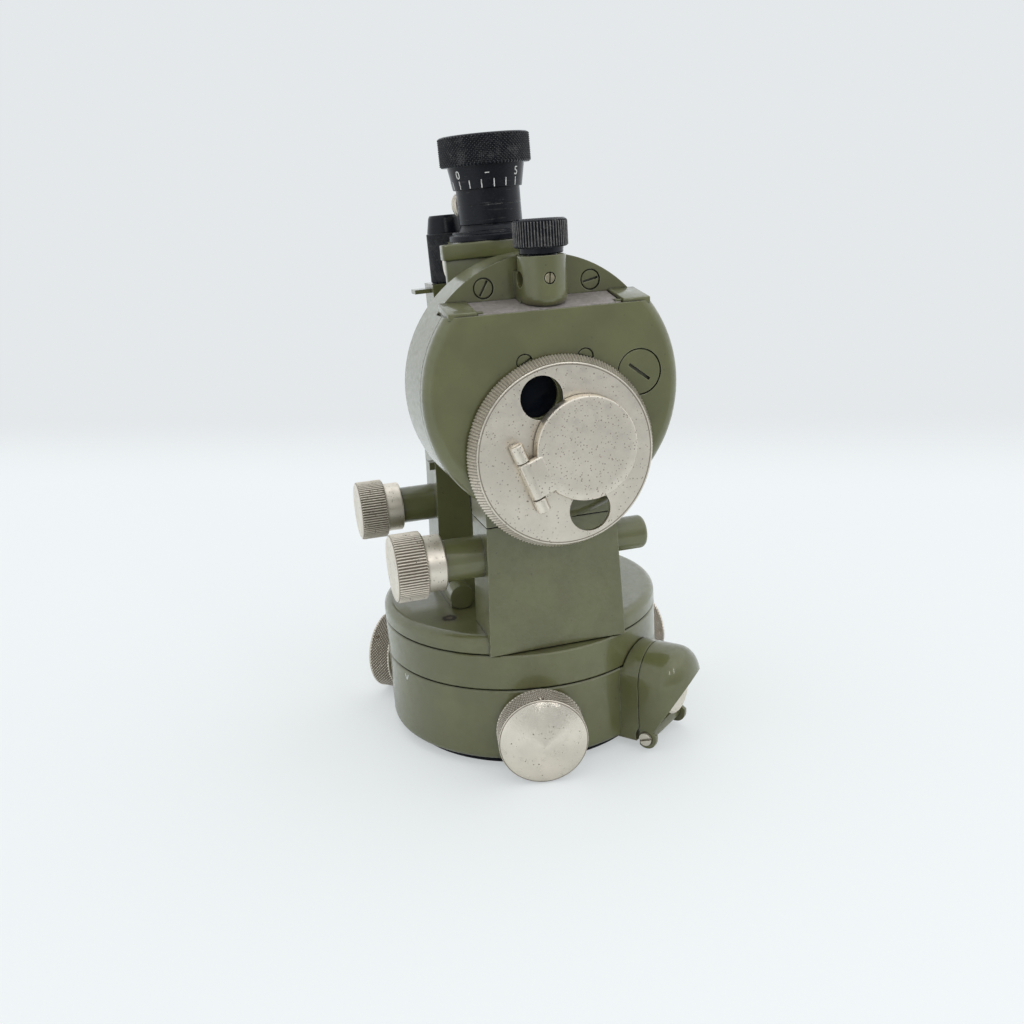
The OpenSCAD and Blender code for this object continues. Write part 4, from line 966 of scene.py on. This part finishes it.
class THEODOLITE_OT_side_grips(bpy.types.Operator):
    """Builds the reading microscope's sleeve, the focusing knob and the small cap on the barrel"""

    bl_idname = "theodolite.side_grips"
    bl_label = "Microscope and small knobs"

    def execute(self, context):
        self.sleeve()
        self.focusing_knob()
        self.barrel_cap()
        return {"FINISHED"}

    def sleeve(self):
        columns, rows, radius, length, depth = 96, 34, 6.1, 15.2, 0.2
        bore, neck, root = 2.6, 2.95, -4
        low, high, lip = 0.3, length - 0.3, length + 5.4
        profile = [(bore, root), (neck, root), (neck, 0), (radius - 0.4, 0)]
        profile += band(radius, low, high, rows)
        profile += [(radius - 0.45, length), (radius - 0.4, length + 0.25), (radius - 1.15, length + 4.6),
                    (radius - 1.6, lip), (4, lip), (bore, length + 3.8), (bore, root)]
        sleeve = turned("microscope_grip", profile, columns)
        diamond_knurl(sleeve, radius, low, high, rows, columns, depth)
        stand = PARKED @ shift(-10.3, 18.2, 27.4)
        placed(sleeve, stand)
        finish = made_once("black_sleeve", black_of, bared=0.25, tips=(stand, radius, depth, 0.2))
        settled(sleeve, "microscope", "black_anodised", finish, "microscope_sleeve")

    def focusing_knob(self):
        columns, radius, low, high, depth = 160, 5.0, 13.6, 14.9, 0.25
        stem, stem_end, back, face = 2, 8.6, low - 0.25, high + 0.4
        profile = [(0, stem_end), (stem, stem_end), (stem, back), (radius - 0.3, back)]
        profile += band(radius, low, high, 2)
        profile += [(radius - 0.5, face), (0, face)]
        knob = turned("focus_grip", profile, columns)
        ridge_knurl(knob, radius, low, high, columns, depth)
        placed(knob, PARKED @ to_left(0, 34.2))
        settled(knob, "focus", "nickel_plate", plain("nickel_plate"), "focus_knob")

    def barrel_cap(self):
        columns, rows, radius, low, high, depth = 56, 4, 3.6, 10.0, 11.6, 0.18
        stem, stem_end, back, face = 1.4, 8.45, 9.8, 11.95
        profile = [(0, stem_end), (stem, stem_end), (stem, back), (radius - 0.3, back)]
        profile += band(radius, low, high, rows)
        profile += [(radius - 0.35, face), (radius - 1.2, face), (radius - 1.4, face - 0.2), (0, face - 0.2)]
        cap = turned("reticle_grip", profile, columns)
        diamond_knurl(cap, radius, low, high, rows, columns, depth)
        placed(cap, ON_BARREL)
        settled(cap, "telescope", "nickel_plate", plain("nickel_plate"), "reticle_cap")


class THEODOLITE_OT_light_disc(bpy.types.Operator):
    """Builds the turning light disc: fine teeth, two holes, the port and its two hinge knuckles"""

    bl_idname = "theodolite.light_disc"
    bl_label = "Light disc"

    def execute(self, context):
        grips = context.scene.theodolite_knurls
        radius, face, thick, back, web = 27.0, 25.0, 4.2, 52.7, 1.2
        low, high, depth = 0.4, thick - 0.45, 0.48
        slope = (radius - face - 0.35) / (high - low)
        columns = 2 * grips.disc_teeth
        profile = [(0, 0), (radius - 0.3, 0)] + band(radius, low, high, 4, slope)
        profile += [(face + 0.12, thick - 0.1), (face - 0.1, thick), (0, thick)]
        disc = turned("light_disc", profile, columns)
        knurl(disc, radius, low, high, columns, depth, lambda place, column: column % 2 == 1, slope)
        tidy(disc, smooth=24)
        # The holes open wide behind, so that the wall round them is thin
        wide, narrow, hole_y, start, end = 8, 6, 17.4, -0.01, thick + 1
        flare = [(0, start), (wide, start), (narrow, thick - web), (narrow, end), (0, end)]
        for y in (hole_y, -hole_y):
            cut_away(disc, placed(turned("hole", flare, 64), shift(0, y, 0)))
        # The port on the right, and the seat of the pivot, which stays closed in front
        port = (12, 4.5, -1)
        seat = (0, 4.05, -4.2)
        for x, size, start in (port, seat):
            bored(disc, size, 7.2, shift(x, 0, start))
        tidy(disc, smooth=24)
        stand = ON_DISC @ to_front(back, 0)
        parts = [placed(disc, stand)]
        for start, end in ((-10.4, -6.5), (4.8, 9.8)):
            length = end - start
            barrel = knuckle(length, 0.2, 1.1)
            foot = block("foot", (2.9, 2.4, length), (-0.2, 1.15, length / 2), 0.25)
            parts.append(placed(joined("knuckle", barrel, foot), at_hinge(start)))
        disc = joined("light_disc", *parts)
        finish = made_once("nickel_disc", nickel_of, specks=0.55,
                           grooves=(stand, radius - depth, radius - 0.02, slope))
        settled(disc, "disc", "nickel_plate", finish, "illumination_disc")
        # The pin ends inside the upper knuckle, which stays open
        pin = placed(rod("hinge_pin", 0.86, 18.6, 0.3, 28), at_hinge(-10.2))
        settled(pin, "disc", "nickel_plate", plain("nickel_plate"), "cap_hinge_pin")
        return {"FINISHED"}


class THEODOLITE_OT_mirror_cap(bpy.types.Operator):
    """Builds the hinged mirror cap with its knuckle and strap"""

    bl_idname = "theodolite.mirror_cap"
    bl_label = "Mirror cap"

    def execute(self, context):
        radius, thick, recess, sunk = 14.4, 3.6, 12.9, 1.2
        profile = [(0, sunk), (recess, sunk), (recess, 0), (radius - 0.25, 0), (radius, 0.25),
                   (radius, thick - 0.6), (radius - 0.08, thick - 0.32), (radius - 0.28, thick - 0.09),
                   (radius - 0.58, thick), (radius - 3, thick), (0, thick)]
        cap = placed(turned("cap", profile, 128), ON_DISC @ to_front(57.15, 0, 5.3))
        low, high = -6.3, 4.6
        length = high - low
        barrel = placed(knuckle(length, 0.3, 0.96), at_hinge(low))
        strap = block("strap", (6.9, 2.3, length - 0.3), (1.9, -0.65, length / 2), 0.5, 3)
        cap = joined("mirror_cap_cover", cap, barrel, placed(strap, at_hinge(low)))
        settled(cap, "cap", "nickel_plate", made_once("nickel_cap", nickel_of, specks=0.85), "mirror_cap")
        return {"FINISHED"}


class THEODOLITE_OT_screws(bpy.types.Operator):
    """Builds the flush screws of the housing and the large slotted plug in its cover"""

    bl_idname = "theodolite.screws"
    bl_label = "Housing screws and plug"

    def slotted(self, name, radius, height, slot, length, angle, matrix):
        """A flush round head with a slot cut across it, nearly as deep as the head is high."""
        chamfer, floor = 0.18, 0.15
        profile = [(0, 0), (radius, 0), (radius, height - chamfer), (radius - chamfer, height), (0, height)]
        head = turned(name, profile, 48)
        cutter = block("slot", (length, slot, 2 * (height - floor)), edge=CRISP, segments=1)
        cut_away(head, placed(cutter, shift(0, 0, height) @ turn(angle, "Z")))
        return placed(tidy(head), matrix)

    def execute(self, context):
        heads = []
        for side, sector_slot, cover_slot in ((-1, 60, 30), (1, 12, -20)):
            on_sector = to_front(38.2, 144.8, side * 15.4)
            on_cover = to_front(50.5, 125.5, side * 8.6)
            heads.append(self.slotted("sector_screw", 2.62, 1.1, 0.62, 4.6, sector_slot, on_sector))
            heads.append(self.slotted("cover_screw", 2.14, 0.9, 0.55, 6, cover_slot, on_cover))
        heads = joined("painted_screws", *heads)
        settled(heads, "alidade", "olive_enamel", plain("olive_enamel"), "housing_screws")
        boss = self.slotted("boss_screw", 1.4, 1.1, 0.4, 4, 85, to_front(49.4, 146.9))
        brass = made_once("dull_brass", plain_metal_of, colour=(0.42, 0.38, 0.26), rough=0.34)
        settled(boss, "alidade", "nickel_plate", brass)
        plug = self.slotted("large_plug", 6.22, 1.45, 0.85, 7.6, -38, to_front(50, 119.7, 24.2))
        settled(plug, "alidade", "olive_enamel", plain("olive_enamel"), "cover_plug")
        return {"FINISHED"}


class THEODOLITE_OT_window_ledge(bpy.types.Operator):
    """Builds the sloping, dusty window over the level, between two rubbed tabs"""

    bl_idname = "theodolite.window_ledge"
    bl_label = "Window and tabs"

    def slab(self, name, left, right, front, rise, lip):
        """A slab on the shelf that slopes down to a low lip at the front, with rounded edges."""
        back, low, shelf = -39.2, 138.0, 138.9
        height = shelf - low + rise
        centre = ((left + right) / 2, (back + front) / 2, (2 * low + height) / 2)
        piece = rough_box(name, (right - left, back - front, height), centre)
        select_points(piece, lambda place: place.y < front + HAIR and place.z > low + HAIR)
        bpy.ops.transform.translate(value=(0, 0, (lip - rise) * MM))
        bpy.ops.mesh.select_all(action="SELECT")
        return eased(piece, 0.3, 3)

    def execute(self, context):
        half, gap, outer, window_front, tab_front = 20.2, 0.25, 28.3, -50.0, -50.9
        strip = self.slab("window_strip", -half, half, window_front, 2.5, 0.15)
        frosted = made_once("frosted_strip", frosted_strip_of)
        settled(strip, "alidade", "glass", frosted, "index_window")
        left = self.slab("tab", -outer, -half - gap, tab_front, 3.0, 0.95)
        right = self.slab("tab", half + gap, outer, tab_front, 3.0, 0.95)
        tabs = joined("window_tabs", left, right)
        settled(tabs, "alidade", "olive_enamel", made_once("rubbed_enamel", enamel_of, rubbed=0.9))
        return {"FINISHED"}


class THEODOLITE_OT_telescope_head(bpy.types.Operator):
    """Builds the face plate of the square body and the black barrel that stands on it"""

    bl_idname = "theodolite.telescope_head"
    bl_label = "Telescope head"

    def execute(self, context):
        cap = block("face_plate", (37.2, 4, 4.5), (0, -10.4, 37.7), 0.4, 3)
        face = block("face", (35.4, 2.8, 26), (0, -9.8, 22.6), 0.4)
        plate = placed(joined("face_plate", cap, face), PARKED)
        settled(plate, "telescope", "olive_enamel", plain("olive_enamel"))
        bore, foot, top, flange, barrel, waist = 8.0, 40.0, 58.0, 13.1, 9.65, 9.4
        groove, groove_z = barrel - 0.07, foot + 10
        profile = [(bore, foot), (flange - 0.15, foot), (flange, foot + 0.15), (flange, foot + 1.5),
                   (flange - 0.2, foot + 1.8), (flange - 0.9, foot + 2.1), (flange - 1.1, foot + 2.75),
                   (barrel + 0.6, foot + 2.8), (barrel + 0.35, foot + 3.05), (waist, foot + 4.0),
                   (waist, foot + 4.5), (barrel, foot + 4.8), (barrel, groove_z), (groove, groove_z + 0.05),
                   (groove, groove_z + 0.25), (barrel, groove_z + 0.3), (barrel, top), (bore, top),
                   (bore, foot)]
        tube = placed(turned("eyepiece_barrel", profile, 120), PARKED)
        finish = made_once("black_barrel", black_of, bared=1.4, lines=PARKED)
        settled(tube, "telescope", "black_anodised", finish, "eyepiece_tube")
        return {"FINISHED"}


class THEODOLITE_OT_hinged_cover(bpy.types.Operator):
    """Builds the domed cover over the circle's drive knob, open towards the base and cut on a slant"""

    bl_idname = "theodolite.hinged_cover"
    bl_label = "Hinged cover"

    def shell(self, half, length, nose, low):
        """A round nosed dome on straight walls that reach down to low. X points out of the base."""
        arch, facets = 21.4, 10
        profile = [(0, 0), (half, 0), (half, length - nose)]
        for k in range(1, facets + 1):
            angle = math.radians(90 / facets * k)
            profile.append((half * math.cos(angle), length - nose + nose * math.sin(angle)))
        shape = placed(turned("hinged_cover", profile, 72), outward(arch))
        edit()
        bpy.ops.mesh.bisect(plane_co=(0, 0, arch * MM), plane_no=(0, 0, 1), clear_inner=True)
        bpy.ops.mesh.extrude_edges_move(TRANSFORM_OT_translate={"value": (0, 0, (low - arch) * MM)})
        bpy.ops.mesh.edge_face_add()
        leave()
        return tidy(shape)

    def execute(self, context):
        half, length, nose, wall = 10.8, 14.3, 7.4, 1.2
        hood = self.shell(half, length, nose, 1.2)
        inside = self.shell(half - wall, length - wall, nose - wall, -2)
        cut_away(hood, placed(inside, shift(-0.02, 0, 0)))
        # The slant rises towards the far side
        slant = block("slant", (60, 40, 30), (27.5, half, -15), KEEN, 1)
        cut_away(hood, placed(slant, shift(5.9, -half, 8.8) @ turn(-56.5, "Y") @ turn(8, "X")))
        cut_away(hood, block("below", (30, 40, 20), (20.7, 0, -1.4), KEEN, 1))
        # The ears are round about the pivot, so that the cover can fold
        pivot_x, pivot_z, ear, reach = 2.25, 4.6, 3.4, 22
        spare = block("spare", (14, 40, 8), (pivot_x, 0, pivot_z - 4), KEEN, 1)
        cut_away(hood, bored(spare, ear, 2 * reach, shift(pivot_x, reach, pivot_z) @ turn(90, "X")))
        tidy(hood)
        placed(hood, radial(39) @ shift(50.25, 0, 0))
        settled(hood, "cover", "olive_enamel", plain("olive_enamel"), "circle_cover")
        return {"FINISHED"}


class THEODOLITE_OT_small_marks(bpy.types.Operator):
    """Builds the white index mark on the base: two strokes that lean apart from one foot"""

    bl_idname = "theodolite.small_marks"
    bl_label = "Index mark"

    def execute(self, context):
        mark_x, mark_y, foot_z, base_radius, stroke_height = -42.7, -14.3, 23.3, 45.0, 2.0
        angle = math.degrees(math.atan2(mark_y, mark_x))
        strokes = []
        for lean in (-28, 28):
            stroke = block("stroke", (0.12, 0.36, stroke_height), edge=CRISP, segments=1)
            foot = turn(angle, "Z") @ shift(base_radius, 0, foot_z) @ turn(lean, "X")
            strokes.append(placed(stroke, foot @ shift(0, 0, stroke_height / 2)))
        mark = joined("index_mark", *strokes)
        settled(mark, "base", "olive_enamel", made_once("mark_paint", mark_paint_of))
        return {"FINISHED"}


class THEODOLITE_OT_stage(bpy.types.Operator):
    """Sets up the pale floor, the even soft light and the camera"""

    bl_idname = "theodolite.stage"
    bl_label = "Floor, light and camera"

    def execute(self, context):
        self.lay_floor(context)
        self.light(context)
        self.set_camera(context)
        context.scene.view_settings.view_transform = "Standard"
        return {"FINISHED"}

    def lay_floor(self, context):
        """A pale sheet that fades into the backdrop behind the instrument."""
        look = context.scene.theodolite_stage
        width, front, back = 6.0, -0.34, 1.0
        put_down()
        bpy.ops.mesh.primitive_plane_add(size=1)
        floor = fresh("floor")
        edit()
        bpy.ops.transform.resize(value=(width, back - front, 1), center_override=(0, 0, 0))
        bpy.ops.transform.translate(value=(0, (back + front) / 2, 0))
        leave()
        finish = Finish(bpy.data.materials.new("pale_floor"))
        behind = (0.525, 0.851, 0)
        far = finish.vectors("DOT_PRODUCT", finish.place(), behind)
        sheet = finish.node("ShaderNodeBsdfDiffuse", sockets={"Color": opaque(look.floor)})
        pale = finish.node("ShaderNodeEmission", sockets={"Color": opaque(look.floor)})
        clear = finish.node("ShaderNodeBsdfTransparent")
        lit = finish.mixed(finish.ray("Camera") * 0.45, sheet, pale)
        shown = finish.mixed(finish.ramp(far, 0.27, 0.5), lit, clear)
        finish.node("ShaderNodeOutputMaterial", sockets={"Surface": shown})
        floor.data.materials.append(finish.owner)

    def light(self, context):
        """Even daylight all round, a broad light from above and two narrow windows in front."""
        look = context.scene.theodolite_stage
        sky = Finish(bpy.data.worlds.new("soft_daylight"))
        context.scene.world = sky.owner

        def glow(colour, strength=1.0):
            sockets = {"Color": opaque(colour), "Strength": strength}
            return sky.node("ShaderNodeBackground", sockets=sockets)

        # What polished metal sees: a pale tent, open and darker at the front
        to_opening = Vector((0.1, -0.95, -0.22)).normalized()
        facing = sky.vectors("DOT_PRODUCT", sky.node("ShaderNodeTexCoord", output="Generated"), to_opening)
        tent = glow((0.93, 0.97, 1.0), sky.ramp(facing, 0.45, 0.9, 1.0, 0.42))
        seen = sky.ray("Camera") + sky.ray("Transmission")
        lit = sky.mixed(sky.ray("Glossy"), glow((0.95, 0.98, 1.0), look.daylight), tent)
        sky.node("ShaderNodeOutputWorld", sockets={"Surface": sky.mixed(seen, lit, glow(look.backdrop))})
        put_down()
        bpy.ops.object.light_add(type="SUN", rotation=self.aimed((-0.45, 0.1, -1)))
        overhead = fresh("overhead_light")
        overhead.data.energy = look.overhead
        overhead.data.angle = math.radians(80)
        for x in (-0.07, 0.2):
            self.window(x, look.windows)

    def aimed(self, direction):
        """The turn of a lamp that shines in a direction."""
        return Vector(direction).to_track_quat("-Z", "Y").to_euler()

    def window(self, x, power):
        """A tall narrow window, seen as a glint in glossy enamel."""
        place = Vector((x, -0.62, 0.44))
        target = Vector((0.04, -0.05, 0.02))
        put_down()
        bpy.ops.object.light_add(type="AREA", location=place)
        lamp = fresh("narrow_window")
        lamp.data.shape = "RECTANGLE"
        lamp.data.size = 0.05
        lamp.data.size_y = 0.17
        lamp.data.energy = power
        lamp.rotation_euler = self.aimed(target - place)

    def set_camera(self, context):
        """Stands the camera where the photograph was taken from, with its slight roll."""
        put_down()
        bpy.ops.object.camera_add()
        camera = bpy.context.active_object
        camera.name = "view_of_the_photograph"
        focal_pixels, picture_pixels = 1039.75, 1024
        ahead = Vector((0.25679, 0.92403, -0.28325)).normalized()
        right = Vector((0.9635, -0.2678, 0)).normalized()
        up = right.cross(ahead)
        roll = math.radians(-3.75)
        side = math.cos(roll) * right + math.sin(roll) * up
        top = -math.sin(roll) * right + math.cos(roll) * up
        place = Vector((-88.44, -316.34, 166.09)) * MM
        camera.matrix_world = Matrix((*zip(side, top, -ahead, place), (0, 0, 0, 1)))
        camera.data.sensor_width = 36
        camera.data.lens = focal_pixels * camera.data.sensor_width / picture_pixels
        camera.data.clip_start = 0.01
        camera.data.clip_end = 50
        context.scene.camera = camera


STEPS = (
    THEODOLITE_OT_castings,
    THEODOLITE_OT_bare_metal,
    THEODOLITE_OT_optics,
    THEODOLITE_OT_levelling_knobs,
    THEODOLITE_OT_tangent_knobs,
    THEODOLITE_OT_prism_knob,
    THEODOLITE_OT_eyepiece,
    THEODOLITE_OT_side_grips,
    THEODOLITE_OT_light_disc,
    THEODOLITE_OT_mirror_cap,
    THEODOLITE_OT_screws,
    THEODOLITE_OT_window_ledge,
    THEODOLITE_OT_telescope_head,
    THEODOLITE_OT_hinged_cover,
    THEODOLITE_OT_small_marks,
    THEODOLITE_OT_stage,
)
SETTINGS = {
    "theodolite_finishes": TheodoliteFinishes,
    "theodolite_knurls": TheodoliteKnurls,
    "theodolite_stage": TheodoliteStage,
}


class VIEW3D_PT_theodolite(bpy.types.Panel):
    """Lists the theodolite's sizes and colours, and its pieces in the order they are built"""

    bl_label = "Theodolite"
    bl_idname = "VIEW3D_PT_theodolite"
    bl_space_type = "VIEW_3D"
    bl_region_type = "UI"
    bl_category = "Theodolite"

    def draw(self, context):
        for group in SETTINGS:
            box = self.layout.box()
            settings = getattr(context.scene, group)
            for name in settings.bl_rna.properties.keys():
                if name not in ("rna_type", "name"):
                    box.prop(settings, name)
        for step in STEPS:
            self.layout.operator(step.bl_idname)


CLASSES = (*SETTINGS.values(), *STEPS, VIEW3D_PT_theodolite)


def register():
    for part in CLASSES:
        bpy.utils.register_class(part)
    for name, group in SETTINGS.items():
        setattr(bpy.types.Scene, name, PointerProperty(type=group))


def unregister():
    for name in SETTINGS:
        delattr(bpy.types.Scene, name)
    for part in reversed(CLASSES):
        bpy.utils.unregister_class(part)


def main():
    register()
    for step in STEPS:
        group, name = step.bl_idname.split(".")
        getattr(getattr(bpy.ops, group), name)()


if __name__ == "__main__":
    main()
